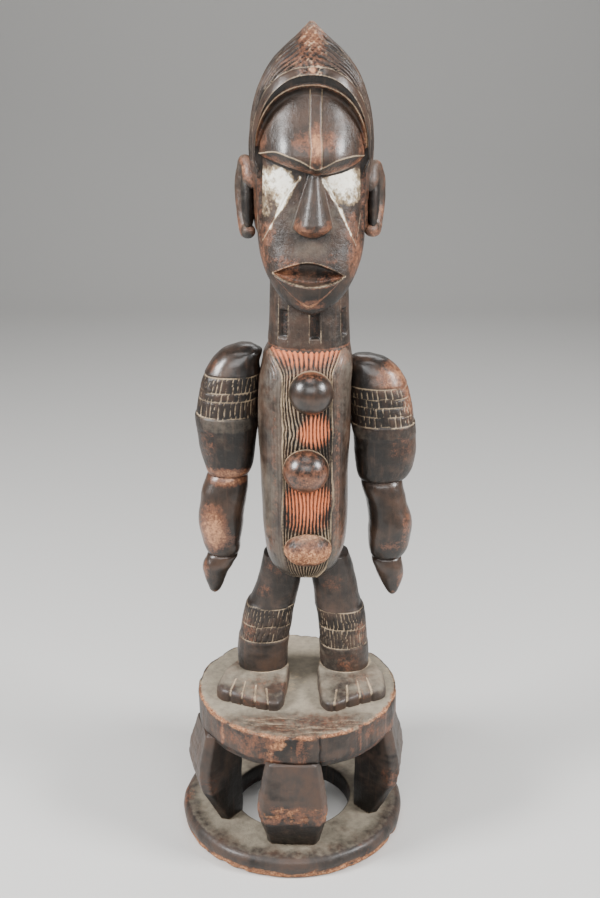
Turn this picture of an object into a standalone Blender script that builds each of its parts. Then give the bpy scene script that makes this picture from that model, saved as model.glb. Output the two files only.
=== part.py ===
# Carved wooden shrine figure: a standing figure on a disc, held by four posts above a pierced ring.
# The whole figure is cut from one block of wood. Metres, +Z up, the front looks along -Y, and the
# origin is the centre of the ring's underside.

from math import atan2, cos, hypot, pi, radians, sin

import bmesh
import bpy
import numpy as np

MM = 0.001  # the outlines below are written in millimetres

# Ring base
RING_RADIUS = 0.1165
RING_HEIGHT = 0.022
RING_HOLE_RADIUS = 0.059
RING_HOLE_FLARE = 0.001
RING_ROUNDING = 0.009
RING_FOOT_INSET = 0.0015
RING_SIDES = 44

# Disc that the figure stands on
DISC_RADIUS = 0.1025
DISC_TOP = 0.1545
DISC_THICKNESS = 0.036
DISC_CENTRE = (0.0055, 0.0)
DISC_UNDER_INSET = 0.004
DISC_UNDER_BEVEL = 0.008
DISC_TOP_BEVEL = 0.003
DISC_SIDES = 44

# Posts between ring and disc, which bulge to a level ridge
POST_CENTRE = (0.0045, -0.002)
POST_REACH = 0.109
POST_RIDGE_HEIGHT = 0.061
POST_RIDGE_WIDTH = 0.070
POST_SHOULDER_HEIGHT = 0.093
POST_SHOULDER_WIDTH = 0.065
POST_TOP_WIDTH = 0.054
POST_TOP_SETBACK = 0.009
POST_FOOT_WIDTH = 0.048
POST_FOOT_SETBACK = 0.018
POST_INNER_REACH = 0.062
POST_INNER_WIDTH = 0.026
POST_CORNER = 0.008
POST_FACE_SHARE = 0.82  # how much of a post's width is its flat outer face
POST_ANGLES = (268, 196, 352, 90)  # degrees round from +X, front post first

# Edges that turn by more than this many degrees stay crisp
SHARP_ANGLE = 24

# How far a piece runs into its neighbour so that both are one solid
BITE = 0.004

# Neck and the upright slots round it
NECK_CENTRE = (0.0165, 0.006)
NECK_WIDTH = 0.075
NECK_DEPTH = 0.066
NECK_FLARE = ((0.506, 1.07), (0.518, 1.03), (0.540, 1.0), (0.600, 0.95))  # height, share of the width
NECK_SIDES = 21
NECK_SLOTS = 7
NECK_SLOT_WIDTH = 0.009
NECK_SLOT_TALL = 0.025
NECK_SLOT_DEPTH = 0.0042
NECK_SLOT_REACH = 0.0078
NECK_SLOT_HEIGHT = 0.540
NECK_FIRST_SLOT = -81

# Trunk: height, centre x, half width, front y, back y
TRUNK = (
    (516, 15, 37, -30, 34),
    (505, 15, 42, -36, 38),
    (480, 12.5, 44, -42, 41),
    (450, 12, 44.6, -45, 41),
    (400, 12, 42.5, -46, 39),
    (350, 13, 41.6, -45, 37),
    (322, 13, 39.6, -42, 36),
    (303, 12.5, 35.2, -37, 33),
    (292, 13, 29, -31, 27),
    (284, 14, 18, -22, 18),
)
TRUNK_LEVELS = (284, 291, 302, 322, 350, 400, 450, 485, 505, 516)
TRUNK_CENTRE_Y = 0.002
TRUNK_SIDES = 20
TRUNK_SQUARENESS = 2.6
PANEL_EDGES = (21, 33)  # degrees from the front to the panel's left and right edge
PANEL_GROOVES = 12
PANEL_GROOVE_DEPTH = 0.0012
PANEL_SINK = 0.0012
PANEL_BOW = 0.7

# Knobs down the front: centre x, y, z, then half width, half depth, half height
KNOBS = (
    (18, -42, 481, 20.5, 19, 20.5),
    (13.5, -44, 406, 21.5, 20, 21),
    (15.5, -40, 324, 22.5, 17, 16.5),
)
KNOB_SIDES = 14
KNOB_ROWS = 8

# Limbs: height, centre x, centre y, half width, half depth
LIMB_SIDES = 16
LIMB_SQUARENESS = 2.3
LEFT_UPPER_ARM = (
    (515, -44, 5, 8, 8),
    (509, -47, 5, 19.5, 17),
    (497, -53.5, 5, 23.5, 22.5),
    (479, -57.5, 5, 28.3, 26),
    (450, -61.3, 4, 30, 27.5),
    (420, -61.6, 3, 27.5, 26),
    (400, -60.7, 2, 24, 22.5),
    (388, -61, 1, 19.5, 18.5),
    (384, -61.5, 1, 13, 12),
)
LEFT_FOREARM = (
    (394, -62, 1, 13, 12),
    (384, -62.5, 0, 19.8, 18.5),
    (366, -66, -1, 22.2, 21),
    (340, -69.3, -2, 22, 22),
    (318, -69.2, -2, 18.8, 18.5),
    (305, -67.6, -2, 14.9, 14.5),
    (302, -67.6, -2, 9, 9),
)
LEFT_HAND = (
    (308, -67.8, -2, 9, 8),
    (302, -68.5, -3, 15.2, 13),
    (294, -72.5, -4, 15.2, 13),
    (283, -76, -4, 11, 10),
    (270, -76.6, -4, 5.5, 7),
    (261.5, -76.6, -4, 1.2, 2),
)
RIGHT_UPPER_ARM = (
    (504.5, 68, 5, 9, 8),
    (500, 72, 5, 18.5, 16),
    (488, 78.6, 5, 24.6, 22),
    (470, 83, 5, 29.4, 26),
    (440, 87.4, 4, 30.4, 27.5),
    (412, 89.8, 3, 30.2, 26.5),
    (396, 89.4, 2, 27.5, 23.5),
    (384, 88, 1, 23, 19),
    (379, 87, 1, 16, 13),
)
RIGHT_FOREARM = (
    (388, 87, 1, 14, 12),
    (378, 87.4, 0, 20, 18.5),
    (360, 92, -1, 19.5, 20.5),
    (334, 96.2, -2, 21.2, 22),
    (316, 95.6, -2, 19.6, 19),
    (303, 94, -2, 15.6, 15),
    (300, 93.4, -2, 10, 9),
)
RIGHT_HAND = (
    (305, 93.4, -2, 10, 8),
    (299, 93.6, -3, 14.8, 13),
    (290, 96, -4, 14, 13),
    (279, 98.6, -4, 11.8, 10),
    (268, 99.6, -4, 6.5, 7),
    (260, 100, -4, 1.2, 2),
)
LEFT_LEG = (
    (300, -8, 8, 20, 20),
    (270, -12.7, 13, 21.8, 21),
    (245, -19.5, 15, 23.4, 22.5),
    (241.5, -21.5, 15, 26, 24),
    (215, -26.6, 16, 26.2, 24),
    (185, -30.6, 17, 26, 24),
    (160, -29.6, 18, 25, 24),
)
RIGHT_LEG = (
    (300, 36, 8, 20, 20),
    (270, 42.3, 13, 22.3, 21),
    (241, 46.8, 15, 23.4, 22.5),
    (237.5, 48.4, 15, 25, 24),
    (210, 52, 16, 25.2, 24),
    (185, 53.7, 17, 25, 24),
    (160, 54.8, 18, 24, 24),
)

# Engraved bands round the limbs: top height, bottom height and strokes round
LEFT_ARM_BAND = (487, 449, 12)
RIGHT_ARM_BAND = (477, 440, 12)
LEFT_KNEE_BAND = (240, 204, 10)
RIGHT_KNEE_BAND = (236, 198, 10)
BAND_ROWS = 2
BAND_PROUD = 0.4
BAND_SINK = 1.6
BAND_LINE = 2.4
BAND_LIP = 1  # how far the sunk ground runs past the band's top and bottom
BAND_CLEARANCE = (6, 3)  # limb stations this near below and above a band give way to it
STROKE_TURNS = (0.0, 0.55, 0.78)  # shares of one stroke's width: ridge, ridge, groove

# Feet: corners of the sole, round from the inner heel
LEFT_SOLE = ((-6, 42), (-3, 8), (-5, -15), (-9, -45), (-14, -54), (-22, -53.5), (-32, -50), (-44, -45),
             (-58, -39.5), (-71, -34), (-76.5, -26), (-74, -14), (-66, 8), (-56, 24), (-50, 42))
RIGHT_SOLE = ((32, 42), (26, 8), (26, -15), (29.5, -45), (35, -54.5), (43, -55.5), (53, -49.5), (64, -43.5),
              (79, -37), (90, -32), (95, -26), (94, -6), (88, 14), (82, 26), (76, 42))
FOOT_TOE_HEIGHT = 0.010
FOOT_ANKLE_HEIGHT = 0.0165
FOOT_TOE_LINE = -0.050
FOOT_SLOPE_RUN = 0.045
FOOT_EDGE = 0.003
FOOT_TOP_SHARE = 0.94
TOE_LINE = -25  # corners of the sole in front of this y carry the toes
TOE_SLIT_WIDTH = 0.0016
TOE_SLIT_FLARE = 1.6
TOE_SLIT_LENGTH = 0.020
TOE_SLIT_START = 0.006
TOE_SLIT_FLOOR = 0.002
TOE_SLIT_RISE = 0.006
TOE_SLIT_LEAN = 0.18
LEFT_TOE_SLITS = (-24, -37, -50, -62)
RIGHT_TOE_SLITS = (42, 55, 68, 80)

# Head with the face: height, half width, front y, back y
HEAD_CENTRE_X = 0.018
FACE = (
    (556, 5, -51, -44),
    (560, 16, -54, -34),
    (567, 25.5, -56, -20),
    (576, 33.5, -57, -4),
    (590, 41.5, -56.5, 20),
    (603, 46, -54, 34),
    (618, 48.2, -50, 42),
    (646, 49, -46, 47),
    (669, 49.5, -43.5, 49),
    (679, 49.5, -43.5, 50),
    (684, 49.5, -47, 50),
    (690, 49.5, -53.5, 50),
    (708, 49.5, -56, 50),
    (726, 46.5, -55.5, 46),
    (741, 37, -51.5, 38),
    (751, 21, -45, 28),
    (755, 8, -39, 16),
)
FACE_SIDES = 26
FACE_SQUARENESS = 2.5
FACE_MIDDLE_SHIFT = 6  # how far the widest line lies behind the middle
BROW_RISE = 0.0105
BROW_LEVEL_SHARE = 0.45
BROW_FADE = 0.03
BROW_ROWS = {669: 0.3, 679: 1.0, 684: 0.9, 690: 0.75, 708: 0.2}  # height: share of the rise

# Helmet-like hair: height, half width, front y, back y
HAIR = (
    (612, 47, 2, 40),
    (626, 51.6, -26, 50),
    (660, 53, -36, 57),
    (694, 55, -50, 60),
    (712, 54, -57, 58),
    (728, 51.5, -60.5, 54),
    (744, 47.2, -60.5, 48),
    (757, 41.5, -57, 42),
    (769, 33.9, -49, 36),
    (780, 23.5, -37, 29),
    (790, 12, -24, 20),
    (797, 4.5, -12, 12),
    (800, 1.5, -4, 6),
)
HAIR_SIDES = 26
HAIR_SQUARENESS = 2.4
ARCH_CROWN_HEIGHT = 0.7595
ARCH_SPRING_HEIGHT = 0.690
ARCH_HALF_WIDTH = 0.0490
ARCH_FOOT_HEIGHT = 0.600
ARCH_FRONT_Y = -0.090
ARCH_BACK_Y = -0.024
ARCH_STEPS = 12
ARCH_SQUARENESS = 2.2

# Nose: corners in front of the face
NOSE_ROOT = (20.5, -42, 679)
NOSE_ROOT_HALF_WIDTH = 3.5
NOSE_BRIDGE = (1.75, 7, 5)  # half width, how far out and how far down the bridge starts
NOSE_TIP = (19.5, -67, 634)
NOSE_TIP_HALF_WIDTH = 6
NOSE_WING_HALF_WIDTH = 17
NOSE_WING_Y = -49
NOSE_WING_DROP = 4
NOSE_WING_TAPER = 0.9
NOSE_BASE_HEIGHT = 623
NOSE_BASE_SETBACK = 2
NOSE_BACK_Y = -36

# Mouth: an opening shaped like a lens
MOUTH_CENTRE = (16, -57, 591)
MOUTH_HALF_WIDTH = 31
MOUTH_RISE = 11.5
MOUTH_DROP = 7.5
MOUTH_DEPTH = 9
MOUTH_BACK_SHARE = 0.8
MOUTH_BACK_RISE = 0.35
MOUTH_BACK_DROP = 3
MOUTH_FRONT_REACH = 12
MOUTH_FRONT_RISE = 1.5
MOUTH_STEPS = 12

# Lower lip: a wedge with its point on the chin
LIP_CORNERS = ((-12, -50, 588), (44, -50, 587))
LIP_EDGE = ((-2, -58.5, 584.5), (15.5, -61, 583), (33, -58.5, 584))
LIP_POINT = (15.5, -59, 564)
LIP_THICKNESS = 14

# Brows: outer corner, upper edge, inner end and lower edge of each slanting facet
LEFT_BROW = ((-29, -42, 692), (-13, -53, 697), (0, -57.5, 694), (17, -56, 686.5), (17, -50, 678.5),
             (0, -50.5, 683))
RIGHT_BROW = ((69, -42, 688.5), (54, -53, 693), (42, -57, 691), (27, -56, 684.5), (27, -50, 677),
              (42, -50.5, 679.5))
BROW_BACK_Y = -36

# Raised strip down the forehead: heights of its stations, from the brows to the hair
STRIP_LEVELS = (684, 690, 700, 715, 730, 742)
STRIP_FOOT_Y = -50
STRIP_CENTRE_X = 22
STRIP_HALF_WIDTH = 4.5
STRIP_PROUD = 1.4
STRIP_DEPTH = 12

# Ears: centre of the rim and its half height, then half depth and thickness of the roll
LEFT_EAR = (-40.3, 8, 651, 31.5)
RIGHT_EAR = (75, 8, 649.5, 28.5)
EAR_HALF_DEPTH = 12
EAR_ROLL = 5.4
EAR_ROLL_SIDES = 8
EAR_STEPS = 12
EAR_START = 165  # degrees round the rim, from its front
EAR_SWEEP = 290
EAR_END_SWELL = 1.25
EAR_SPREAD = 25  # degrees that the ear stands off the head
EAR_SHELL_HALF_WIDTH = 4.5
EAR_SHELL_INSET = 3
EAR_SHELL_SETBACK = 2

DARK_WOOD = (0.045, 0.024, 0.016, 1.0)
WOOD_ROUGHNESS = 0.38


def clear_scene():
    for item in list(bpy.data.objects):
        bpy.data.objects.remove(item, do_unlink=True)


def wood_material():
    """Dark glossy wood for the whole carving."""
    material = bpy.data.materials.new("dark_wood")
    material.use_nodes = True
    shader = material.node_tree.nodes["Principled BSDF"]
    shader.inputs["Base Color"].default_value = DARK_WOOD
    shader.inputs["Roughness"].default_value = WOOD_ROUGHNESS
    shader.inputs["Metallic"].default_value = 0.0
    return material


def mesh_object(name, verts, faces, split=False):
    """A closed mesh whose faces all point outwards, with uneven four-sided faces split on request."""
    mesh = bpy.data.meshes.new(name)
    mesh.from_pydata([tuple(v) for v in verts], [], faces)
    work = bmesh.new()
    work.from_mesh(mesh)
    if split:
        bmesh.ops.triangulate(work, faces=[face for face in work.faces if len(face.verts) == 4])
    bmesh.ops.recalc_face_normals(work, faces=work.faces)
    work.to_mesh(mesh)
    work.free()
    item = bpy.data.objects.new(name, mesh)
    bpy.context.scene.collection.objects.link(item)
    return item


def loft(name, rings, split=False):
    """Skin over closed rings of equal point count, with a flat cap at each end."""
    count = len(rings[0])
    verts = [point for ring in rings for point in ring]
    faces = []
    for level in range(len(rings) - 1):
        low = level * count
        for i in range(count):
            j = (i + 1) % count
            faces.append((low + i, low + j, low + count + j, low + count + i))
    faces.append(tuple(range(count)))
    faces.append(tuple(range((len(rings) - 1) * count, len(rings) * count)))
    return mesh_object(name, verts, faces, split)


def rounded(share, squareness):
    """Sine or cosine value pushed out towards a square section."""
    return np.sign(share) * np.abs(share) ** (2 / squareness)


def oval(centre, half_width, front, back, height, turns, squareness):
    """Level ring of points, with its own depth to the front and to the back of its centre."""
    angle = turns * 2 * pi - pi / 2
    across = rounded(np.cos(angle), squareness)
    along = rounded(np.sin(angle), squareness)
    x = centre[0] + half_width * across
    y = centre[1] + np.where(along < 0, centre[1] - front, back - centre[1]) * along
    return np.column_stack([x, y, np.full(len(turns), height)])


def even_turns(count):
    """Shares of a full turn, one for each side."""
    return np.arange(count) / count


def blend(stations, heights):
    """Values of a table at new heights, on smooth curves through its rows."""
    table = np.array(sorted(stations), float)
    z = table[:, 0]
    values = []
    for column in table[:, 1:].T:
        slope = np.gradient(column, z)
        index = np.clip(np.searchsorted(z, heights) - 1, 0, len(z) - 2)
        span = z[index + 1] - z[index]
        t = (heights - z[index]) / span
        start = (1 + 2 * t) * (1 - t) ** 2 * column[index]
        end = t * t * (3 - 2 * t) * column[index + 1]
        lean = t * (1 - t) ** 2 * span * slope[index] - t * t * (1 - t) * span * slope[index + 1]
        values.append(start + end + lean)
    return np.array(values)


def station_at(stations, z):
    """One row of a table, blended at a new height."""
    return (z, *blend(stations, np.array([z], float))[:, 0])


def sunk_for_band(stations, band):
    """A limb's stations with a shallow step down where an engraved band goes round it."""
    top, bottom = band[:2]
    below, above = BAND_CLEARANCE
    kept = [row for row in stations if not bottom - below < row[0] < top + above]
    rims = [station_at(stations, z) for z in (bottom - BAND_LIP, top + BAND_LIP)]
    ground = []
    for height in (bottom, top):
        z, x, y, half_width, half_depth = station_at(stations, height)
        ground.append((z, x, y, half_width - BAND_SINK, half_depth - BAND_SINK))
    return kept + rims + ground


def limb(name, stations, band=None):
    """Rounded limb through a table of stations."""
    if band:
        stations = sunk_for_band(stations, band)
    rings = []
    for z, x, y, half_width, half_depth in sorted(stations):
        rings.append(MM * oval((x, y), half_width, y - half_depth, y + half_depth, z,
                               even_turns(LIMB_SIDES), LIMB_SQUARENESS))
    return loft(name, rings)


def engraved_band(name, stations, band):
    """Sleeve round a limb: rows of upright strokes parted by level lines."""
    top, bottom, strokes = band
    step = (top - bottom) / BAND_ROWS
    turns = (np.repeat(np.arange(strokes), 3) + np.tile(STROKE_TURNS, strokes)) / strokes
    levels = []
    for row in range(BAND_ROWS):
        foot = bottom + row * step
        levels.append((foot + BAND_LINE / 2, 0.0))
        levels.append((foot + step - BAND_LINE / 2, 0.0))
        if row < BAND_ROWS - 1:
            levels.append((foot + step, BAND_SINK))
    rings = []
    for height, sink in levels:
        z, x, y, half_width, half_depth = station_at(stations, height)
        spread = BAND_PROUD - sink
        ring = oval((x, y), half_width + spread, y - half_depth - spread, y + half_depth + spread, z,
                    turns, LIMB_SQUARENESS)
        inward = np.array([x, y, z]) - ring
        inward /= np.linalg.norm(inward, axis=1)[:, None]
        ring[2::3] += inward[2::3] * (BAND_SINK - sink)
        rings.append(ring * MM)
    return loft(name, rings)


def trunk():
    """Barrel-shaped trunk with a grooved panel sunk in its front."""
    left_edge, right_edge = (radians(angle) for angle in PANEL_EDGES)
    side = np.linspace(-pi / 2 + right_edge, 3 * pi / 2 - left_edge, TRUNK_SIDES)
    share = np.linspace(0, 1, PANEL_GROOVES * 2 + 1)
    rings = []
    heights = np.array(TRUNK_LEVELS, float)
    for z, (x, half_width, front, back) in zip(heights, blend(TRUNK, heights).T * MM):
        across = rounded(np.cos(side), TRUNK_SQUARENESS)
        along = rounded(np.sin(side), TRUNK_SQUARENESS)
        depth = np.where(along < 0, TRUNK_CENTRE_Y - front, back - TRUNK_CENTRE_Y)
        ring_x = x + half_width * across
        ring_y = TRUNK_CENTRE_Y + depth * along
        panel_x = ring_x[-1] + (ring_x[0] - ring_x[-1]) * share
        bow = np.sqrt(np.clip(1 - ((panel_x - x) / half_width) ** 2, 0, 1)) ** PANEL_BOW
        panel_y = TRUNK_CENTRE_Y - (TRUNK_CENTRE_Y - front) * bow + PANEL_SINK
        panel_y[1::2] += PANEL_GROOVE_DEPTH
        ring = np.column_stack([np.append(ring_x, panel_x), np.append(ring_y, panel_y)])
        rings.append(np.column_stack([ring, np.full(len(ring), z * MM)]))
    return loft("trunk", rings)


def ellipsoid(name, centre, size, columns, rows):
    """Closed oval ball whose poles lie at its front and back."""
    around = np.arange(columns) * 2 * pi / columns
    rings = []
    for row in (0.25, *range(1, rows)):
        tilt = pi * row / rows
        ring = np.column_stack([np.sin(tilt) * np.cos(around), np.full(columns, -np.cos(tilt)),
                                np.sin(tilt) * np.sin(around)])
        rings.append((np.array(centre) + ring * np.array(size)) * MM)
    return loft(name, rings)


def turned_ring(name, profile, count):
    """Closed outline of (radius, height) points turned round the upright axis."""
    verts, faces = [], []
    size = len(profile)
    for i in range(count):
        angle = 2 * pi * i / count
        for radius, height in profile:
            verts.append((radius * cos(angle), radius * sin(angle), height))
    for i in range(count):
        j = (i + 1) % count
        for k in range(size):
            m = (k + 1) % size
            faces.append((i * size + k, j * size + k, j * size + m, i * size + m))
    return mesh_object(name, verts, faces)


def ring_base():
    """Flat ring with a rounded upper edge and a round hole."""
    corner = []
    for angle in (0, pi / 4, pi / 2):
        corner.append((RING_RADIUS - RING_ROUNDING * (1 - cos(angle)),
                       RING_HEIGHT - RING_ROUNDING * (1 - sin(angle))))
    profile = [(RING_HOLE_RADIUS, 0), (RING_RADIUS - RING_FOOT_INSET, 0), *corner,
               (RING_HOLE_RADIUS + RING_HOLE_FLARE, RING_HEIGHT)]
    return turned_ring("ring", profile, RING_SIDES)


def disc():
    """Thick round disc whose rim leans in towards its underside."""
    under = DISC_TOP - DISC_THICKNESS
    rim = ((DISC_RADIUS - DISC_UNDER_INSET, under), (DISC_RADIUS, under + DISC_UNDER_BEVEL),
           (DISC_RADIUS, DISC_TOP - DISC_TOP_BEVEL), (DISC_RADIUS - DISC_TOP_BEVEL, DISC_TOP))
    x, y = DISC_CENTRE
    rings = []
    for radius, height in rim:
        rings.append(oval(DISC_CENTRE, radius, y - radius, y + radius, height, even_turns(DISC_SIDES), 2))
    return loft("disc", rings)


def post(angle):
    """Wedge-shaped block between ring and disc, widest and furthest out at its ridge."""
    outward = np.array([cos(radians(angle)), sin(radians(angle))])
    sideways = np.array([-outward[1], outward[0]])
    levels = ((RING_HEIGHT - BITE, POST_REACH - POST_FOOT_SETBACK, POST_FOOT_WIDTH),
              (POST_RIDGE_HEIGHT, POST_REACH, POST_RIDGE_WIDTH),
              (POST_SHOULDER_HEIGHT, POST_REACH, POST_SHOULDER_WIDTH),
              (DISC_TOP - DISC_THICKNESS + BITE, POST_REACH - POST_TOP_SETBACK, POST_TOP_WIDTH))
    rings = []
    for height, reach, width in levels:
        face = width * POST_FACE_SHARE
        corners = ((POST_INNER_REACH, -POST_INNER_WIDTH), (reach - POST_CORNER, -width), (reach, -face),
                   (reach, face), (reach - POST_CORNER, width), (POST_INNER_REACH, POST_INNER_WIDTH))
        ring = []
        for out, across in corners:
            ring.append(np.append(np.array(POST_CENTRE) + outward * out + sideways * across / 2, height))
        rings.append(ring)
    return loft(f"post_{angle}", rings, split=True)


def toe_slit(name, x, front, middle_x):
    """Narrow wedge that parts two toes and leans with them."""
    half = TOE_SLIT_WIDTH / 2
    wide = half * TOE_SLIT_FLARE
    floor = DISC_TOP + TOE_SLIT_FLOOR
    lid = DISC_TOP + FOOT_ANKLE_HEIGHT * 2
    lean = (x - middle_x) * TOE_SLIT_LEAN
    rings = []
    ends = ((x, front - TOE_SLIT_START, 0.0), (x - lean, front + TOE_SLIT_LENGTH, TOE_SLIT_RISE))
    for cx, cy, rise in ends:
        rings.append([(cx - half, cy, floor + rise), (cx + half, cy, floor + rise),
                      (cx + wide, cy, lid), (cx - wide, cy, lid)])
    return loft(name, rings)


def foot(name, sole, slits):
    """Flat foot with a level sole and a top that slopes up to the ankle, toes parted by slits."""
    outline = np.array(sole, float) * MM
    slope = np.clip((outline[:, 1] - FOOT_TOE_LINE) / FOOT_SLOPE_RUN, 0, 1)
    tops = DISC_TOP + FOOT_TOE_HEIGHT + (FOOT_ANKLE_HEIGHT - FOOT_TOE_HEIGHT) * slope
    middle = outline.mean(axis=0)
    inner = middle + (outline - middle) * FOOT_TOP_SHARE
    low = np.column_stack([outline, np.full(len(outline), DISC_TOP - BITE)])
    edge = np.column_stack([outline, tops - FOOT_EDGE])
    high = np.column_stack([inner, tops])
    block = loft(name, [low, edge, high])
    toe_x, toe_y = np.array(sorted(corner for corner in sole if corner[1] < TOE_LINE)).T * MM
    cutters = []
    for index, x in enumerate(slits):
        cutters.append(toe_slit(f"{name}_slit_{index}", x * MM, np.interp(x * MM, toe_x, toe_y), middle[0]))
    cut(block, cutters)
    return block


def face_block():
    """Head with its face: the rows under the forehead dip towards the nose to make the brows."""
    rings = []
    for z, half_width, front, back in FACE:
        middle_y = (front + back) / 2 + FACE_MIDDLE_SHIFT
        ring = MM * oval((HEAD_CENTRE_X / MM, middle_y), half_width, front, back, z,
                         even_turns(FACE_SIDES), FACE_SQUARENESS)
        share = np.abs(ring[:, 0] - STRIP_CENTRE_X * MM) / (half_width * MM)
        rise = np.clip(share, 0, 1) - BROW_LEVEL_SHARE
        facing = np.clip((middle_y * MM - ring[:, 1]) / BROW_FADE, 0, 1)
        ring[:, 2] += BROW_RISE * BROW_ROWS.get(z, 0) * rise * facing
        rings.append(ring)
    return loft("face", rings)


def arch_cutter():
    """Pointed-oval prism that opens the front of the hair over the forehead."""
    curve = []
    for step in range(ARCH_STEPS + 1):
        angle = pi * step / ARCH_STEPS
        x = HEAD_CENTRE_X + ARCH_HALF_WIDTH * rounded(cos(angle), ARCH_SQUARENESS)
        rise = ARCH_CROWN_HEIGHT - ARCH_SPRING_HEIGHT
        curve.append((x, ARCH_SPRING_HEIGHT + rise * rounded(sin(angle), ARCH_SQUARENESS)))
    outline = [(curve[0][0], ARCH_FOOT_HEIGHT), *curve, (curve[-1][0], ARCH_FOOT_HEIGHT)]
    rings = [[(x, y, z) for x, z in outline] for y in (ARCH_FRONT_Y, ARCH_BACK_Y)]
    return loft("arch", rings)


def hair():
    """Helmet of hair rising to a point, open over the face."""
    rings = []
    for z, half_width, front, back in HAIR:
        rings.append(MM * oval((HEAD_CENTRE_X / MM, (front + back) / 2), half_width, front, back, z,
                               even_turns(HAIR_SIDES), HAIR_SQUARENESS))
    helmet = loft("hair", rings)
    cut(helmet, [arch_cutter()])
    return helmet


def hull(name, points):
    """Smallest solid round a few corners."""
    work = bmesh.new()
    for point in points:
        work.verts.new([value * MM for value in point])
    result = bmesh.ops.convex_hull(work, input=work.verts)
    inside = [v for v in result["geom_interior"] if isinstance(v, bmesh.types.BMVert)]
    bmesh.ops.delete(work, geom=inside, context="VERTS")
    bmesh.ops.recalc_face_normals(work, faces=work.faces)
    mesh = bpy.data.meshes.new(name)
    work.to_mesh(mesh)
    work.free()
    item = bpy.data.objects.new(name, mesh)
    bpy.context.scene.collection.objects.link(item)
    return item


def nose():
    """Wedge with a narrow root, a broad tip and a flat underside."""
    x, y, z = NOSE_ROOT
    tip_x, tip_y, tip_z = NOSE_TIP
    bridge, out, down = NOSE_BRIDGE
    base_y = NOSE_WING_Y + NOSE_BASE_SETBACK
    points = [(tip_x, NOSE_BACK_Y, NOSE_BASE_HEIGHT)]
    for side in (-1, 1):
        root = x + side * NOSE_ROOT_HALF_WIDTH
        tip = tip_x + side * NOSE_TIP_HALF_WIDTH
        wing = tip_x + side * NOSE_WING_HALF_WIDTH
        wing_foot = tip_x + side * NOSE_WING_HALF_WIDTH * NOSE_WING_TAPER
        points += [(root, y, z), (root, NOSE_BACK_Y, z), (x + side * bridge, y - out, z - down)]
        points += [(tip, tip_y, tip_z), (tip, base_y, NOSE_BASE_HEIGHT)]
        points += [(wing, NOSE_WING_Y, tip_z), (wing, NOSE_BACK_Y, tip_z - NOSE_WING_DROP / 2)]
        points += [(wing_foot, NOSE_WING_Y, tip_z - NOSE_WING_DROP)]
    return hull("nose", points)


def mouth_cutter():
    """Lens-shaped notch whose roof slopes back down to the lower lip."""
    x, y, z = MOUTH_CENTRE
    upper = np.linspace(-1, 1, MOUTH_STEPS + 1)
    lower = upper[-2:0:-1]
    share = np.append(upper, lower)
    rise = np.append(MOUTH_RISE * (1 - upper ** 2), -MOUTH_DROP * (1 - lower ** 2))
    front = np.column_stack([x + share * MOUTH_HALF_WIDTH, np.full(len(share), y - MOUTH_FRONT_REACH),
                             z + rise * MOUTH_FRONT_RISE])
    back = np.column_stack([x + share * MOUTH_HALF_WIDTH * MOUTH_BACK_SHARE,
                            np.full(len(share), y + MOUTH_DEPTH),
                            z - MOUTH_BACK_DROP + rise * MOUTH_BACK_RISE])
    return loft("mouth", [front * MM, back * MM])


def lower_lip():
    """Wedge under the mouth that runs down to a point on the chin."""
    points = [*LIP_CORNERS, *LIP_EDGE, LIP_POINT]
    return hull("lower_lip", points + [(x, y + LIP_THICKNESS, z) for x, y, z in points])


def brow(name, corners):
    """Slanting facet of a brow, shaped like a lens."""
    return hull(name, list(corners) + [(x, BROW_BACK_Y, z) for x, y, z in corners])


def forehead_strip():
    """Low strip that follows the forehead from the hair to the nose."""
    heights = np.array(STRIP_LEVELS, float)
    fronts = [(z, front) for z, half_width, front, back in FACE if z > STRIP_LEVELS[0]]
    left, right = STRIP_CENTRE_X - STRIP_HALF_WIDTH, STRIP_CENTRE_X + STRIP_HALF_WIDTH
    rings = []
    for z, front in zip(heights, blend([*fronts, (STRIP_LEVELS[0], STRIP_FOOT_Y)], heights)[0]):
        near = front - STRIP_PROUD
        far = near + STRIP_DEPTH
        rings.append(MM * np.array([(left, near, z), (right, near, z), (right, far, z), (left, far, z)]))
    return loft("forehead_strip", rings)


def ear(name, centre, side):
    """Ear rim: a roll bent round from the top front to the lobe, thicker at both ends."""
    path = []
    for step in range(EAR_STEPS):
        angle = radians(EAR_START - EAR_SWEEP * step / (EAR_STEPS - 1))
        swell = EAR_END_SWELL if step in (0, EAR_STEPS - 2, EAR_STEPS - 1) else 1
        path.append((EAR_HALF_DEPTH * cos(angle), centre[3] * sin(angle), swell))
    spread = radians(EAR_SPREAD)
    rings = []
    for index, (along, rise, swell) in enumerate(path):
        before = path[max(index - 1, 0)]
        after = path[min(index + 1, len(path) - 1)]
        heading = atan2(after[1] - before[1], after[0] - before[0])
        ring = []
        for turn in even_turns(EAR_ROLL_SIDES) * 2 * pi:
            out = EAR_ROLL * swell * cos(turn)
            across = EAR_ROLL * swell * sin(turn)
            local_y = along - across * sin(heading)
            local_z = rise + across * cos(heading)
            x = centre[0] + side * (out + local_y * sin(spread))
            y = centre[1] + local_y * cos(spread)
            ring.append((x * MM, y * MM, (centre[2] + local_z) * MM))
        rings.append(ring)
    return loft(name, rings)


def ear_shell(name, centre, side):
    """Thin plate that fills the ear inside its rim."""
    size = (EAR_SHELL_HALF_WIDTH, EAR_HALF_DEPTH, centre[3])
    shift = (centre[0] - side * EAR_SHELL_INSET, centre[1] + EAR_SHELL_SETBACK, centre[2])
    return ellipsoid(name, shift, size, 12, 6)


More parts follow.
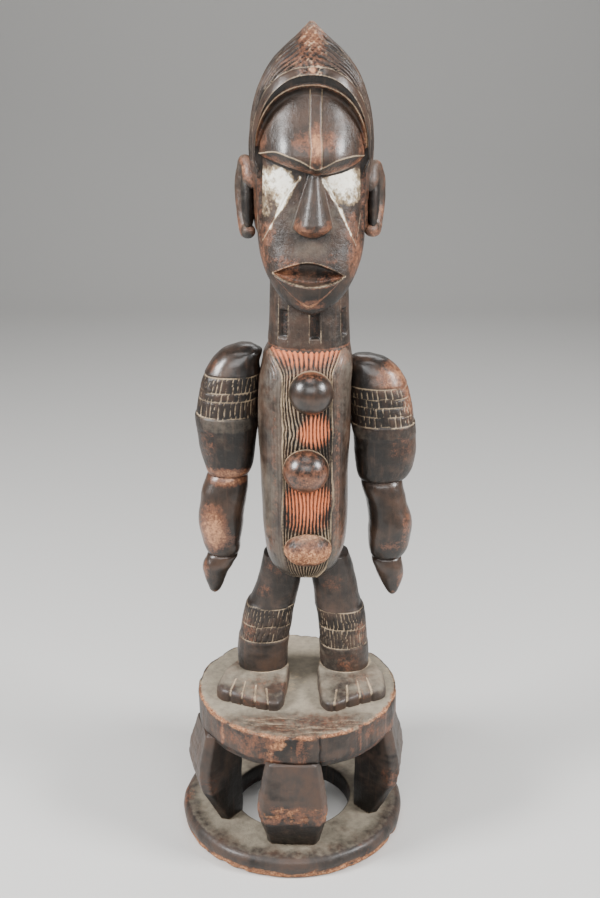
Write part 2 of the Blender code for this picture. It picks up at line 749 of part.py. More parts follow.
def neck_slot(name, angle):
    """Upright block that cuts one slot into the neck."""
    outward = np.array([cos(angle), sin(angle)])
    sideways = np.array([-outward[1], outward[0]]) * NECK_SLOT_WIDTH / 2
    radius = 1 / hypot(outward[0] / (NECK_WIDTH / 2), outward[1] / (NECK_DEPTH / 2))
    inner = np.array(NECK_CENTRE) + outward * (radius - NECK_SLOT_DEPTH)
    outer = np.array(NECK_CENTRE) + outward * (radius + NECK_SLOT_REACH)
    corners = (inner - sideways, inner + sideways, outer + sideways, outer - sideways)
    rings = []
    for height in (NECK_SLOT_HEIGHT - NECK_SLOT_TALL / 2, NECK_SLOT_HEIGHT + NECK_SLOT_TALL / 2):
        rings.append([np.append(corner, height) for corner in corners])
    return loft(name, rings)


def neck():
    """Broad neck with upright slots cut round it."""
    y = NECK_CENTRE[1]
    rings = []
    for height, share in NECK_FLARE:
        half_depth = NECK_DEPTH / 2 * share
        rings.append(oval(NECK_CENTRE, NECK_WIDTH / 2 * share, y - half_depth, y + half_depth, height,
                          even_turns(NECK_SIDES), ARCH_SQUARENESS))
    column = loft("neck", rings)
    angles = [radians(NECK_FIRST_SLOT + 360 * index / NECK_SLOTS) for index in range(NECK_SLOTS)]
    cut(column, [neck_slot(f"neck_slot_{index}", angle) for index, angle in enumerate(angles)])
    return column


def settle(item):
    """Replace an object's mesh by its shape after its modifiers, and drop those modifiers."""
    depsgraph = bpy.context.evaluated_depsgraph_get()
    mesh = bpy.data.meshes.new_from_object(item.evaluated_get(depsgraph))
    item.modifiers.clear()
    item.data = mesh


def combine(item, others, operation):
    """Boolean with several objects in turn, which are then removed."""
    for other in others:
        modifier = item.modifiers.new(operation.lower(), "BOOLEAN")
        modifier.operation = operation
        modifier.solver = "EXACT"
        modifier.object = other
        settle(item)
        bpy.data.objects.remove(other, do_unlink=True)


def cut(item, cutters):
    combine(item, cutters, "DIFFERENCE")


def join(item, others):
    combine(item, others, "UNION")


def carve_head():
    """Head, hair, nose, mouth, forehead strip and ears as one block."""
    head = face_block()
    join(head, [nose(), forehead_strip(), brow("left_brow", LEFT_BROW), brow("right_brow", RIGHT_BROW)])
    join(head, [lower_lip()])
    cut(head, [mouth_cutter()])
    join(head, [hair()])
    for name, centre, side in (("left_ear", LEFT_EAR, -1), ("right_ear", RIGHT_EAR, 1)):
        rim = ear(name, centre, side)
        join(rim, [ear_shell(f"{name}_shell", centre, side)])
        join(head, [rim])
    return head


def carve_body():
    """Trunk with its knobs, neck, arms, legs and feet as one block."""
    body = trunk()
    knobs = []
    for index, knob in enumerate(KNOBS):
        knobs.append(ellipsoid(f"knob_{index}", knob[:3], knob[3:], KNOB_SIDES, KNOB_ROWS))
    join(body, knobs + [neck()])
    for name, stations, band in (("left_upper_arm", LEFT_UPPER_ARM, LEFT_ARM_BAND),
                                 ("right_upper_arm", RIGHT_UPPER_ARM, RIGHT_ARM_BAND),
                                 ("left_leg", LEFT_LEG, LEFT_KNEE_BAND),
                                 ("right_leg", RIGHT_LEG, RIGHT_KNEE_BAND)):
        join(body, [limb(name, stations, band), engraved_band(f"{name}_band", stations, band)])
    for name, stations in (("left_forearm", LEFT_FOREARM), ("left_hand", LEFT_HAND),
                           ("right_forearm", RIGHT_FOREARM), ("right_hand", RIGHT_HAND)):
        join(body, [limb(name, stations)])
    for name, sole, slits in (("left_foot", LEFT_SOLE, LEFT_TOE_SLITS),
                              ("right_foot", RIGHT_SOLE, RIGHT_TOE_SLITS)):
        join(body, [foot(name, sole, slits)])
    return body


def carve_base():
    """Disc, posts and ring as one block."""
    base = disc()
    join(base, [post(angle) for angle in POST_ANGLES] + [ring_base()])
    return base


def main():
    clear_scene()
    figure = carve_base()
    join(figure, [carve_body(), carve_head()])
    figure.name = "shrine_figure"
    figure.data.name = "shrine_figure"
    figure.data.materials.clear()
    figure.data.materials.append(wood_material())
    figure.data.shade_smooth()
    figure.data.set_sharp_from_angle(angle=radians(SHARP_ANGLE))


main()
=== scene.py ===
from math import pi, radians

import bpy
import numpy as np
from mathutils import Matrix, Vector


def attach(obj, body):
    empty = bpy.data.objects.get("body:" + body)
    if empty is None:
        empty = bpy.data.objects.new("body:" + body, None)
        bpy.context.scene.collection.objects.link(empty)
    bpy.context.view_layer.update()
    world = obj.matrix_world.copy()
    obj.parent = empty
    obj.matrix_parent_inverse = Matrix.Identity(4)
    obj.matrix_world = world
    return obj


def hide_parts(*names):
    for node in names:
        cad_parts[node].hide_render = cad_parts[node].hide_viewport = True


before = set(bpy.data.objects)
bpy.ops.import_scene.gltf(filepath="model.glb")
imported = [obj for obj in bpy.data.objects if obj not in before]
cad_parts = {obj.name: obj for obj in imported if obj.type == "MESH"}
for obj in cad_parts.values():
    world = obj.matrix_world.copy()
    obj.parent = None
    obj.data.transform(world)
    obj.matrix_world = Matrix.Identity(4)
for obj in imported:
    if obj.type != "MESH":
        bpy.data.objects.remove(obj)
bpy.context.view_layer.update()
print("frame loaded")

# Carved shrine figure. All outlines are in millimetres and turn into metres when a piece is made.
# x runs to the viewer's right, z up, and the figure looks along -y.

millimetre = 0.001
# the shade mask moves the patina's tone darker or lighter: random tone, and in many places painted shade and
# painted light
maskNames = ("groove", "wear", "ochre", "kaolin", "dust", "raw", "shade", "gloss")


def limit(value):
    # the value kept between 0 and 1
    return np.clip(value, 0, 1)


def bell(value, width, power=2):
    # 1 at zero and less to both sides: e to the power of minus the square of value over width
    return np.exp(-(value / width) ** power)


def smoothStep(low, high, value):
    # 0 below low, 1 above high, and a smooth S between them
    t = limit((value - low) / (high - low))
    return t * t * (3 - 2 * t)


def curveThrough(table, height):
    # smooth values between a table's rows: cubic pieces whose slopes never overshoot a row
    rows = np.array(sorted(table), float)
    z = rows[:, 0]
    place = np.clip(np.searchsorted(z, height) - 1, 0, len(z) - 2)
    span = z[place + 1] - z[place]
    t = limit((height - z[place]) / span)
    values = []
    for column in rows[:, 1:].T:
        rate = np.diff(column) / np.diff(z)
        before, after = rate[:-1], rate[1:]
        total = before + after + 1e-12 * np.sign(before)
        bend = np.where(before * after > 0, 2 * before * after / total, 0)
        slope = np.concatenate([rate[:1], bend, rate[-1:]])
        start = (1 + 2 * t) * (1 - t) ** 2 * column[place]
        end = t * t * (3 - 2 * t) * column[place + 1]
        lean = t * (1 - t) ** 2 * span * slope[place] - t * t * (1 - t) * span * slope[place + 1]
        values.append(start + end + lean)
    return values


def cornerValue(corner, seed):
    # a repeatable number from 0 to 1 for each corner of a lattice, mixed from its three whole numbers
    mixed = corner[..., 0] * 374761393 + corner[..., 1] * 668265263 + corner[..., 2] * 1440662683
    mixed = (mixed + seed * 1274126177) & 0xFFFFFFFF
    mixed = ((mixed ^ (mixed >> 13)) * 1274126177) & 0xFFFFFFFF
    return ((mixed ^ (mixed >> 16)) & 0xFFFFFF) / 0xFFFFFF


def softNoise(points, size, seed=0):
    # lattice noise from -1 to 1: corner values, blended along each axis by a smooth S
    spot = points / np.array(size, float)
    base = np.floor(spot).astype(np.int64)
    part = spot - base
    part = part * part * (3 - 2 * part)
    total = 0
    for corner in np.ndindex(2, 2, 2):
        weight = np.prod(np.where(np.array(corner, bool), part, 1 - part), axis=-1)
        total = total + weight * cornerValue(base + np.array(corner), seed)
    return total * 2 - 1


def roughNoise(points, size, seed=0):
    # three layers of lattice noise, each half as large and half as strong as the one before
    size = np.array(size, float)
    return (softNoise(points, size, seed) + softNoise(points, size / 2, seed + 7) / 2
            + softNoise(points, size / 4, seed + 13) / 4) / 1.75


def lineDistance(x, z, corners):
    # shortest distance from each point to a run of straight pieces
    best = np.full(np.shape(x), 1e9)
    for (ax, az), (bx, bz) in zip(corners[:-1], corners[1:]):
        dx, dz = bx - ax, bz - az
        along = limit(((x - ax) * dx + (z - az) * dz) / (dx ** 2 + dz ** 2))
        best = np.minimum(best, np.hypot(x - ax - along * dx, z - az - along * dz))
    return best


def cutLines(x, z, lines, width):
    # rounded groove profile along several lines: 1 on a line, 0 at half a width from it
    depth = np.zeros(np.shape(x))
    for line in lines:
        depth = np.maximum(depth, 1 - limit(lineDistance(x, z, line) / (width / 2)) ** 2)
    return depth


def softPatches(x, z, patches):
    # how far each point lies inside soft ovals: centre x, centre z, half width, half height, strength
    bare = np.ones(np.shape(x))
    for centreX, centreZ, halfWidth, halfHeight, strength in patches:
        reach = ((x - centreX) / halfWidth) ** 2 + ((z - centreZ) / halfHeight) ** 2
        bare = bare * (1 - strength * np.exp(-reach ** 1.5))
    return 1 - bare


def facing(points):
    # unit normals of a grid: cross product of its step across and its step along
    across = np.roll(points, -1, 1) - np.roll(points, 1, 1)
    along = np.gradient(points, axis=0)
    normal = np.cross(across, along)
    return normal / np.maximum(np.linalg.norm(normal, axis=2, keepdims=True), 1e-9)


def lifted(points, height):
    # the same grid, each point moved along its normal by its height
    return points + facing(points) * height[..., None]


def faceOutward(points, middle):
    # the same grid, with its columns turned about if its faces point to the middle
    return points[:, ::-1] if np.sum((points - middle) * facing(points)) < 0 else points


def sharpness(points, reach):
    # one over the radius, in millimetres, at which the surface bends outwards:
    # twice its height over the middle of its neighbours, divided by their squared distance
    row, last = np.arange(len(points)), len(points) - 1
    near = (points[np.clip(row + reach, 0, last)], points[np.clip(row - reach, 0, last)],
            np.roll(points, reach, 1), np.roll(points, -reach, 1))
    middle = sum(near) / 4
    spread = sum(((side - points) ** 2).sum(axis=2) for side in near) / 4
    return 2 * np.sum((points - middle) * facing(points), axis=2) / np.maximum(spread, 0.05)


def frontDense(count, crowd):
    # shares of a full turn, packed closer round the front than at the back
    t = (np.arange(count) - count / 2) / count
    return t - crowd * np.sin(2 * pi * t) / (2 * pi)


def squaredOval(angle, squareness):
    # across and along shares of a squared oval: cosine and sine raised to two over its squareness
    return tuple(np.sign(part) * np.abs(part) ** (2 / squareness) for part in (np.cos(angle), np.sin(angle)))


def ovalSide(turns, squareness):
    # the same for each share of a turn, 0 being the front
    return squaredOval(turns * 2 * pi - pi / 2, squareness)


def flatFront(frontCount, sideCount, reach, squareness):
    # like ovalSide, but its front columns lie evenly across the width
    share = np.linspace(-reach, reach, frontCount)
    depth = -(1 - np.abs(share) ** squareness) ** (1 / squareness)
    edge = np.arccos(reach ** (squareness / 2))
    across, along = squaredOval(np.linspace(-edge, pi + edge, sideCount + 2)[1:-1], squareness)
    return np.append(share, across), np.append(depth, along)


def ovalRows(across, along, centreX, centreY, halfWidth, front, back, height):
    # grid of squared ovals: each row has its own centre, half width, front and back
    x = centreX + halfWidth * across
    y = centreY + np.where(along < 0, centreY - front, back - centreY) * along
    return np.stack([x, y, np.broadcast_to(height, x.shape)], axis=2)


def newPiece(name):
    # the lists in which the shells of a piece are gathered
    return {"name": name, "points": [], "quads": [], "fans": [], "count": 0,
            "masks": {n: [] for n in maskNames}}


def addShell(piece, points, masks):
    # a closed shell: quads between rows, and a fan of triangles to the middle of each end row
    rows, columns = points.shape[:2]
    index = piece["count"] + np.arange(rows * columns).reshape(rows, columns)
    right = np.roll(index, -1, 1)
    piece["quads"].append(np.stack([index[:-1], right[:-1], right[1:], index[1:]], axis=-1).reshape(-1, 4))
    low = np.full(columns, piece["count"] + rows * columns)
    piece["fans"].append(np.stack([right[0], index[0], low], axis=-1))
    piece["fans"].append(np.stack([index[-1], right[-1], low + 1], axis=-1))
    ends = np.array([points[0].mean(0), points[-1].mean(0)])
    piece["points"].append(np.concatenate([points.reshape(-1, 3), ends]))
    for name in maskNames:
        values = np.broadcast_to(masks.get(name, 0.0), (rows, columns))
        piece["masks"][name].append(np.concatenate([values.ravel(), [values[0].mean(), values[-1].mean()]]))
    piece["count"] += rows * columns + 2


def finishPiece(piece, material):
    # one mesh object out of all the shells, with a number for each mask at every point
    points = np.concatenate(piece["points"]) * millimetre
    quads = np.concatenate(piece["quads"])
    fans = np.concatenate(piece["fans"])
    mesh = bpy.data.meshes.new(piece["name"])
    mesh.vertices.add(len(points))
    mesh.vertices.foreach_set("co", points.astype(np.float32).ravel())
    mesh.loops.add(quads.size + fans.size)
    mesh.loops.foreach_set("vertex_index", np.concatenate([quads.ravel(), fans.ravel()]).astype(np.int32))
    starts = np.concatenate([np.arange(len(quads)) * 4, quads.size + np.arange(len(fans)) * 3])
    mesh.polygons.add(len(starts))
    mesh.polygons.foreach_set("loop_start", starts.astype(np.int32))
    mesh.update(calc_edges=True)
    for name, parts in piece["masks"].items():
        layer = mesh.attributes.new(name, "FLOAT", "POINT")
        layer.data.foreach_set("value", np.concatenate(parts).astype(np.float32))
    mesh.shade_smooth()
    mesh.materials.append(material)
    item = bpy.data.objects.new(piece["name"], mesh)
    bpy.context.scene.collection.objects.link(item)
    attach(item, "root")
    print(piece["name"], len(quads) * 2 + len(fans), "triangles")
    return item


def handWornAndShaded(points, masks, unevenness=0.35, seed=1, edgeWear=0.6):
    # the marks of hand work on a shell: shallow unevenness, worn edges, dust in the hollows and on faces
    # turned up, random tone, and painted shade on faces turned down
    lumps = softNoise(points, 17, seed) * unevenness + softNoise(points, 6, seed + 1) * unevenness * 0.3
    points = lifted(points, lumps)
    bend = sharpness(points, 2)
    up = facing(points)[..., 2]
    patchy = 0.65 + 0.5 * softNoise(points, 12, seed + 2)
    masks["wear"] = limit(masks.get("wear", 0) + edgeWear * patchy * smoothStep(0.07, 0.3, bend))
    masks["groove"] = limit(masks.get("groove", 0) + 0.3 * patchy * smoothStep(0.08, 0.4, -bend))
    masks["dust"] = limit(masks.get("dust", 0) + 0.25 * patchy * smoothStep(0.35, 0.95, up))
    # painted shade: faces turned down are darker
    masks["shade"] = limit(masks.get("shade", 0) + 0.5 + 0.5 * roughNoise(points, 40, seed + 3)
                           - 0.5 * smoothStep(0.05, -0.5, up))
    return points


def addNode(tree, kind, inputs=None, **settings):
    # a node with its settings, its inputs given as plain values or as sockets to join
    node = tree.nodes.new(kind)
    for name, value in settings.items():
        setattr(node, name, value)
    for name, value in (inputs or {}).items():
        socket = node.inputs[name]
        if isinstance(value, bpy.types.NodeSocket):
            tree.links.new(value, socket)
        else:
            socket.default_value = value
    return node


def calculate(tree, operation, first, second=0.0, third=0.0, clamp=False):
    # one step of arithmetic between numbers or sockets
    return addNode(tree, "ShaderNodeMath", {0: first, 1: second, 2: third}, operation=operation,
                   use_clamp=clamp).outputs[0]


def mixColour(tree, share, first, second):
    # the first colour where the share is 0, the second where it is 1
    first, second = (c if isinstance(c, bpy.types.NodeSocket) else (*c, 1.0) for c in (first, second))
    inputs = {"Factor": share, 6: first, 7: second}  # 6 and 7 are the node's two colours
    return addNode(tree, "ShaderNodeMix", inputs, data_type="RGBA").outputs[2]


def ramp(tree, value, low, high):
    # 0 below low, 1 above high, and a smooth S between them
    return addNode(tree, "ShaderNodeMapRange", {"Value": value, "From Min": low, "From Max": high},
                   interpolation_type="SMOOTHSTEP").outputs[0]


def noise(tree, where, scale, detail=3.0, roughness=0.55):
    # layered noise from 0 to 1
    return addNode(tree, "ShaderNodeTexNoise", {"Vector": where, "Scale": scale, "Detail": detail,
                                                "Roughness": roughness}).outputs[0]


def newGroup(name, takes, gives):
    # an empty node group with its inputs and outputs
    group = bpy.data.node_groups.new(name, "ShaderNodeTree")
    for title, kind, value in takes:
        socket = group.interface.new_socket(title, in_out="INPUT", socket_type=kind)
        if value is not None:
            socket.default_value = value
    for title, kind in gives:
        group.interface.new_socket(title, in_out="OUTPUT", socket_type=kind)
    return group, group.nodes.new("NodeGroupInput"), group.nodes.new("NodeGroupOutput")


def makeGrainGroup():
    # streaks along the trunk of the tree, open pores, and a height for the bump
    group, source, result = newGroup(
        "woodGrain", [("Where", "NodeSocketVector", None), ("Streak Scale", "NodeSocketFloat", 260.0)],
        [("Streak", "NodeSocketFloat"), ("Height", "NodeSocketFloat")])
    where = source.outputs["Where"]
    stretched = addNode(group, "ShaderNodeMapping", {"Vector": where, "Scale": (1.0, 1.0, 0.07)})
    streak = noise(group, stretched.outputs[0], source.outputs["Streak Scale"], 4.0, 0.6)
    nicks = noise(group, where, 900.0, 3.0, 0.6)
    height = calculate(group, "MULTIPLY_ADD", streak, 0.7, calculate(group, "MULTIPLY", nicks, 0.3))
    group.links.new(streak, result.inputs["Streak"])
    group.links.new(height, result.inputs["Height"])
    return group


def makeBreakGroup():
    # a mask broken up by fine noise, so that paint, dust and wear end in flecks and not in a soft fade
    group, source, result = newGroup(
        "brokenEdge", [("Mask", "NodeSocketFloat", 0.0), ("Where", "NodeSocketVector", None),
                       ("Scale", "NodeSocketFloat", 350.0), ("Softness", "NodeSocketFloat", 0.25)],
        [("Mask", "NodeSocketFloat")])
    fleck = noise(group, source.outputs["Where"], source.outputs["Scale"], 4.0, 0.65)
    shifted = calculate(group, "MULTIPLY_ADD", source.outputs["Mask"], 1.15,
                        calculate(group, "SUBTRACT", fleck, 0.85))
    spread = calculate(group, "DIVIDE", shifted, source.outputs["Softness"], clamp=True)
    group.links.new(spread, result.inputs["Mask"])
    return group


woodFinish = {
    "darkest": (0.0060, 0.0041, 0.0030),
    "dark": (0.030, 0.0195, 0.0140),
    "brown": (0.078, 0.041, 0.025),
    "redBrown": (0.160, 0.064, 0.034),
    "orange": (0.470, 0.225, 0.108),
    "coral": (0.640, 0.190, 0.080),
    "kaolin": (0.960, 0.915, 0.790),
    "kaolinStain": (0.480, 0.350, 0.200),
    "lineDust": (0.520, 0.395, 0.260),
    "dust": (0.215, 0.182, 0.142),
    "roughness": 0.46,
    "bump": 0.8,
}


def makeWood(name, finish, grainGroup, breakGroup):
    # dark to brown patina, with painted shade and painted light from the shade mask in its tone, and over it
    # wear, paint, dust, kaolin and raw wood, each as far as its mask goes
    material = bpy.data.materials.new(name)
    material.use_nodes = True
    tree = material.node_tree
    shader = tree.nodes["Principled BSDF"]
    where = addNode(tree, "ShaderNodeTexCoord").outputs["Object"]
    mask = {n: addNode(tree, "ShaderNodeAttribute", attribute_name=n).outputs["Fac"] for n in maskNames}
    grain = addNode(tree, "ShaderNodeGroup", {"Where": where}, node_tree=grainGroup)

    def times(first, second):
        # first times second
        return calculate(tree, "MULTIPLY", first, second)

    def broken(source, scale, softness):
        # the mask with a flecked edge
        inputs = {"Mask": source, "Where": where, "Scale": scale, "Softness": softness}
        return addNode(tree, "ShaderNodeGroup", inputs, node_tree=breakGroup).outputs["Mask"]

    mottle = noise(tree, where, 42.0, 5.0, 0.62)
    spots = noise(tree, where, 210.0, 4.0, 0.62)
    flecks = noise(tree, where, 620.0, 3.0, 0.6)
    # the shade mask paints shade and light into the patina's tone
    tone = calculate(tree, "MULTIPLY_ADD", mottle, 0.9, times(mask["shade"], 0.6))
    colour = mixColour(tree, ramp(tree, tone, 0.42, 0.92), finish["darkest"], finish["dark"])
    lighter = calculate(tree, "ADD", mottle, times(mask["shade"], 0.15))
    colour = mixColour(tree, times(ramp(tree, lighter, 0.5, 0.78), 0.55), colour, finish["brown"])
    streak = times(ramp(tree, grain.outputs["Streak"], 0.5, 0.75), 0.35)
    colour = mixColour(tree, streak, colour, finish["brown"])

    # wear goes from brown through red brown to orange, with spots and flecks at each step
    uneven = calculate(tree, "MULTIPLY_ADD", spots, 1.3, calculate(tree, "MULTIPLY_ADD", flecks, 0.9, -1.1))
    worn = calculate(tree, "MULTIPLY_ADD", uneven, ramp(tree, mask["wear"], 0.0, 0.35), mask["wear"])
    colour = mixColour(tree, times(ramp(tree, worn, 0.15, 0.6), 0.8), colour, finish["redBrown"])
    colour = mixColour(tree, times(ramp(tree, worn, 0.55, 1.1), 0.9), colour, finish["orange"])
    coral = broken(mask["ochre"], 300.0, 0.6)
    colour = mixColour(tree, times(coral, 0.9), colour, finish["coral"])
    dust = broken(mask["dust"], 150.0, 1.0)
    colour = mixColour(tree, times(dust, 0.75), colour, finish["dust"])
    lineDust = broken(mask["groove"], 500.0, 0.8)
    colour = mixColour(tree, times(lineDust, 0.85), colour, finish["lineDust"])
    kaolin = broken(mask["kaolin"], 230.0, 0.5)
    thick = calculate(tree, "ADD", times(kaolin, 0.5), spots)
    chalk = mixColour(tree, ramp(tree, thick, 0.66, 1.0), finish["kaolinStain"], finish["kaolin"])
    colour = mixColour(tree, kaolin, colour, chalk)
    raw = broken(mask["raw"], 330.0, 0.5)
    speckle = calculate(tree, "ADD", times(flecks, 0.6), times(spots, 0.5))
    rawTone = mixColour(tree, ramp(tree, speckle, 0.45, 0.68), finish["redBrown"], finish["orange"])
    rawTone = mixColour(tree, times(ramp(tree, flecks, 0.55, 0.75), 0.5), rawTone, finish["lineDust"])
    colour = mixColour(tree, raw, colour, rawTone)
    tree.links.new(colour, shader.inputs["Base Color"])

    # powdery layers are dull, and the bare patina between them is polished
    powder = coral
    for layer in (kaolin, dust, raw, lineDust):
        powder = calculate(tree, "MAXIMUM", powder, layer)
    plain = calculate(tree, "MULTIPLY_ADD", spots, 0.34, finish["roughness"] - 0.17)
    plain = calculate(tree, "SUBTRACT", plain, times(mask["gloss"], 0.12))
    rough = calculate(tree, "MULTIPLY_ADD", powder, 0.45, plain, clamp=True)
    tree.links.new(rough, shader.inputs["Roughness"])
    polish = calculate(tree, "MULTIPLY_ADD", mask["gloss"], 0.5, 0.12)
    coat = calculate(tree, "MULTIPLY_ADD", powder, -0.6, polish, clamp=True)
    tree.links.new(coat, shader.inputs["Coat Weight"])
    shader.inputs["Coat Roughness"].default_value = 0.22
    shader.inputs["Specular IOR Level"].default_value = 0.38
    height = calculate(tree, "MULTIPLY_ADD", grain.outputs["Height"], 0.6,
                       calculate(tree, "MULTIPLY_ADD", flecks, 0.35, times(spots, 0.9)))
    height = times(height, calculate(tree, "MULTIPLY_ADD", mask["gloss"], -0.7, 1.0))
    height = calculate(tree, "MULTIPLY_ADD", powder, 0.25, height)
    bump = addNode(tree, "ShaderNodeBump", {"Strength": finish["bump"], "Distance": 0.001, "Height": height})
    tree.links.new(bump.outputs["Normal"], shader.inputs["Normal"])
    return material


# rings of the limbs: height, centre x, centre y, half width, half depth
limbCuts = {
    "leftUpperArm": ((515, -44, 5, 8, 8), (509, -47, 5, 19.5, 17), (497, -53.5, 5, 23.5, 22.5),
                     (479, -57.5, 5, 28.3, 26), (450, -61.3, 4, 30, 27.5), (420, -61.6, 3, 27.5, 26),
                     (400, -60.7, 2, 24, 22.5), (388, -61, 1, 19.5, 18.5), (384, -61.5, 1, 13, 12)),
    "leftForearm": ((394, -62, 1, 13, 12), (384, -62.5, 0, 19.8, 18.5), (366, -66, -1, 22.2, 21),
                    (340, -69.3, -2, 22, 22), (318, -69.2, -2, 18.8, 18.5), (305, -67.6, -2, 14.9, 14.5),
                    (302, -67.6, -2, 9, 9)),
    "leftHand": ((308, -67.8, -2, 9, 8), (302, -68.5, -3, 15.2, 13), (294, -72.5, -4, 15.2, 13),
                 (283, -75.6, -4, 12, 10.5), (270, -76.4, -4, 7.4, 7.5), (264.5, -76.6, -4, 5, 5.5),
                 (262, -76.6, -4, 2, 3)),
    "rightUpperArm": ((504.5, 68, 5, 9, 8), (500, 72, 5, 18.5, 16), (488, 78.6, 5, 24.6, 22),
                      (470, 83, 5, 29.4, 26), (440, 87.4, 4, 30.4, 27.5), (412, 89.8, 3, 30.2, 26.5),
                      (396, 89.4, 2, 27.5, 23.5), (384, 88, 1, 23, 19), (379, 87, 1, 16, 13)),
    "rightForearm": ((388, 87, 1, 14, 12), (378, 87.4, 0, 20, 18.5), (360, 92, -1, 19.5, 20.5),
                     (334, 96.2, -2, 21.2, 22), (316, 95.6, -2, 19.6, 19), (303, 94, -2, 15.6, 15),
                     (300, 93.4, -2, 10, 9)),
    "rightHand": ((305, 93.4, -2, 10, 8), (299, 93.6, -3, 14.8, 13), (290, 96, -4, 14, 13),
                  (279, 98.4, -4, 12.2, 10.2), (268, 99.4, -4, 7.8, 7.8), (262.5, 99.8, -4, 4.8, 5.5),
                  (260, 100, -4, 2, 3)),
    "leftLeg": ((300, -8, 8, 20, 20), (270, -12.7, 13, 21.8, 21), (245, -19.5, 15, 23.4, 22.5),
                (241.5, -21.5, 15, 26, 24), (215, -26.6, 16, 26.2, 24), (185, -30.6, 17, 26, 24),
                (150, -29.6, 18, 25, 24)),
    "rightLeg": ((300, 36, 8, 20, 20), (270, 42.3, 13, 22.3, 21), (241, 46.8, 15, 23.4, 22.5),
                 (237.5, 48.4, 15, 25, 24), (210, 52, 16, 25.2, 24), (185, 53.7, 17, 25, 24),
                 (150, 54.8, 18, 24, 24)),
}

# engraved bands: heights of the level lines, distance of the upright strokes, foot of the plain strip
# below the band (0 for none), and how much of the strokes shows dust
limbBands = {
    "leftUpperArm": {"lines": (487.3, 473, 465, 448.3), "pitch": 4.6, "strip": 436, "show": 1.05},
    "rightUpperArm": {"lines": (476.6, 467, 458.5, 450, 440.3), "pitch": 5.6, "strip": 428, "show": 1.1},
    "leftLeg": {"lines": (242.4, 221.5, 203.9), "pitch": 4.0, "strip": 0, "show": 0.8},
    "rightLeg": {"lines": (238.2, 218, 197.5), "pitch": 3.9, "strip": 0, "show": 0.8},
}

# worn or painted places on the limbs: centre x, centre z, half width, half height, strength
limbWear = {
    "leftUpperArm": ((-60, 393, 26, 6, 0.75), (-80, 420, 12, 26, 0.25), (-74, 497, 10, 8, 0.3)),
    "leftForearm": ((-76, 336, 14, 26, 0.9), (-60, 386, 22, 7, 0.75), (-66, 326, 16, 10, 0.4)),
    "leftHand": ((-86, 288, 5, 14, 0.5), (-76, 264, 5, 4, 0.3)),
    "rightUpperArm": ((98, 488, 20, 14, 0.75), (104, 420, 18, 20, 0.25), (114, 468, 9, 22, 0.65)),
    "rightForearm": ((112, 338, 7, 20, 0.4), (96, 318, 18, 8, 0.3)),
    "rightHand": ((108, 278, 5, 12, 0.45), (100, 263, 5, 4, 0.3)),
    "leftLeg": ((-30, 262, 14, 10, 0.3), (-44, 218, 8, 18, 0.35), (-16, 290, 14, 10, 0.3)),
    "rightLeg": ((40, 272, 14, 12, 0.3), (70, 212, 8, 20, 0.35), (56, 180, 16, 14, 0.3)),
}


def makeLimb(piece, name, rows, columns, squareness=2.3, seed=1):
    # oval rings through the limb's cuts, then strokes and level lines sunk along the normals
    table = limbCuts[name]
    height = np.linspace(table[-1][0], table[0][0], rows)[:, None]
    centreX, centreY, halfWidth, halfDepth = curveThrough(table, height)
    turn = frontDense(columns, 0.35)
    points = ovalRows(*ovalSide(turn, squareness), centreX, centreY, halfWidth,
                      centreY - halfDepth, centreY + halfDepth, height)
    z = points[..., 2]
    front = smoothStep(8, -6, points[..., 1] - centreY)
    masks = {"wear": softPatches(points[..., 0], z, limbWear[name]) * front}
    sink = np.zeros(z.shape)
    if name in limbBands:
        band = limbBands[name]
        top, bottom = band["lines"][0], band["lines"][-1]
        girth = turn * 2 * pi * halfWidth + 1.5 * softNoise(points, (9, 9, 7), seed)
        wave = z + 0.9 * softNoise(points, 11, seed + 2)
        level = np.zeros(z.shape)
        for lineZ in band["lines"]:
            level = np.maximum(level, 1 - limit(np.abs(wave - lineZ) / 0.8) ** 2)
        row = np.searchsorted(np.sort(band["lines"]), z)
        shift = np.array([0.0, 0.31, 0.05, 0.44, 0.2, 0.6])[np.clip(row, 0, 5)]
        stroke = np.abs((girth / band["pitch"] + shift + 0.5) % 1 - 0.5) * band["pitch"]
        upright = 1 - limit(stroke / 0.6) ** 2
        upright = upright * smoothStep(-0.95, -0.45, softNoise(points, (5, 5, 9), seed + 4))
        inside = smoothStep(bottom - 0.5, bottom + 0.5, z) * smoothStep(top + 0.5, top - 0.5, z)
        patchy = band["show"] + 0.5 * softNoise(points, (4, 4, 12), seed + 7)
        lines = np.maximum(level, upright * inside)
        shown = np.maximum(level, upright * inside * limit(patchy))
        sink = sink + lines * 0.9 + inside * 0.7
        masks["groove"] = shown * (0.8 + 0.3 * softNoise(points, 14, seed + 5))
        masks["shade"] = -0.1 * inside
        if band["strip"]:
            strip = smoothStep(band["strip"] - 2, band["strip"] + 1, z)
            strip = strip * smoothStep(bottom + 0.5, bottom - 0.5, z)
            sink = sink - strip * 0.5
            masks["dust"] = strip * 0.3
    inward = (centreX - points[..., 0]) / halfWidth * (1 if name.startswith("left") else -1)
    if name.endswith("UpperArm"):
        # painted shade: the upper arm's inner side and its lower bulge are darker
        masks["shade"] = masks["shade"] - 0.8 * smoothStep(0.2, -0.8, inward) - 0.35 * smoothStep(448, 400, z)
        masks["gloss"] = 0.7 * smoothStep(485, 497, z) + 0.2
    if name.endswith("Forearm") or name.endswith("Hand"):
        masks["gloss"] = 0.6
    crease = smoothStep(6, 0, z - table[-1][0])
    masks["dust"] = np.maximum(masks.get("dust", 0), 0.3 * crease)
    masks["dust"] = limit(masks["dust"] + 0.3 * smoothStep(0.1, 0.7, softNoise(points, 30, seed + 6)))
    points = lifted(points, -sink)
    points = handWornAndShaded(points, masks, 0.7, seed, edgeWear=0.45)
    addShell(piece, points, masks)


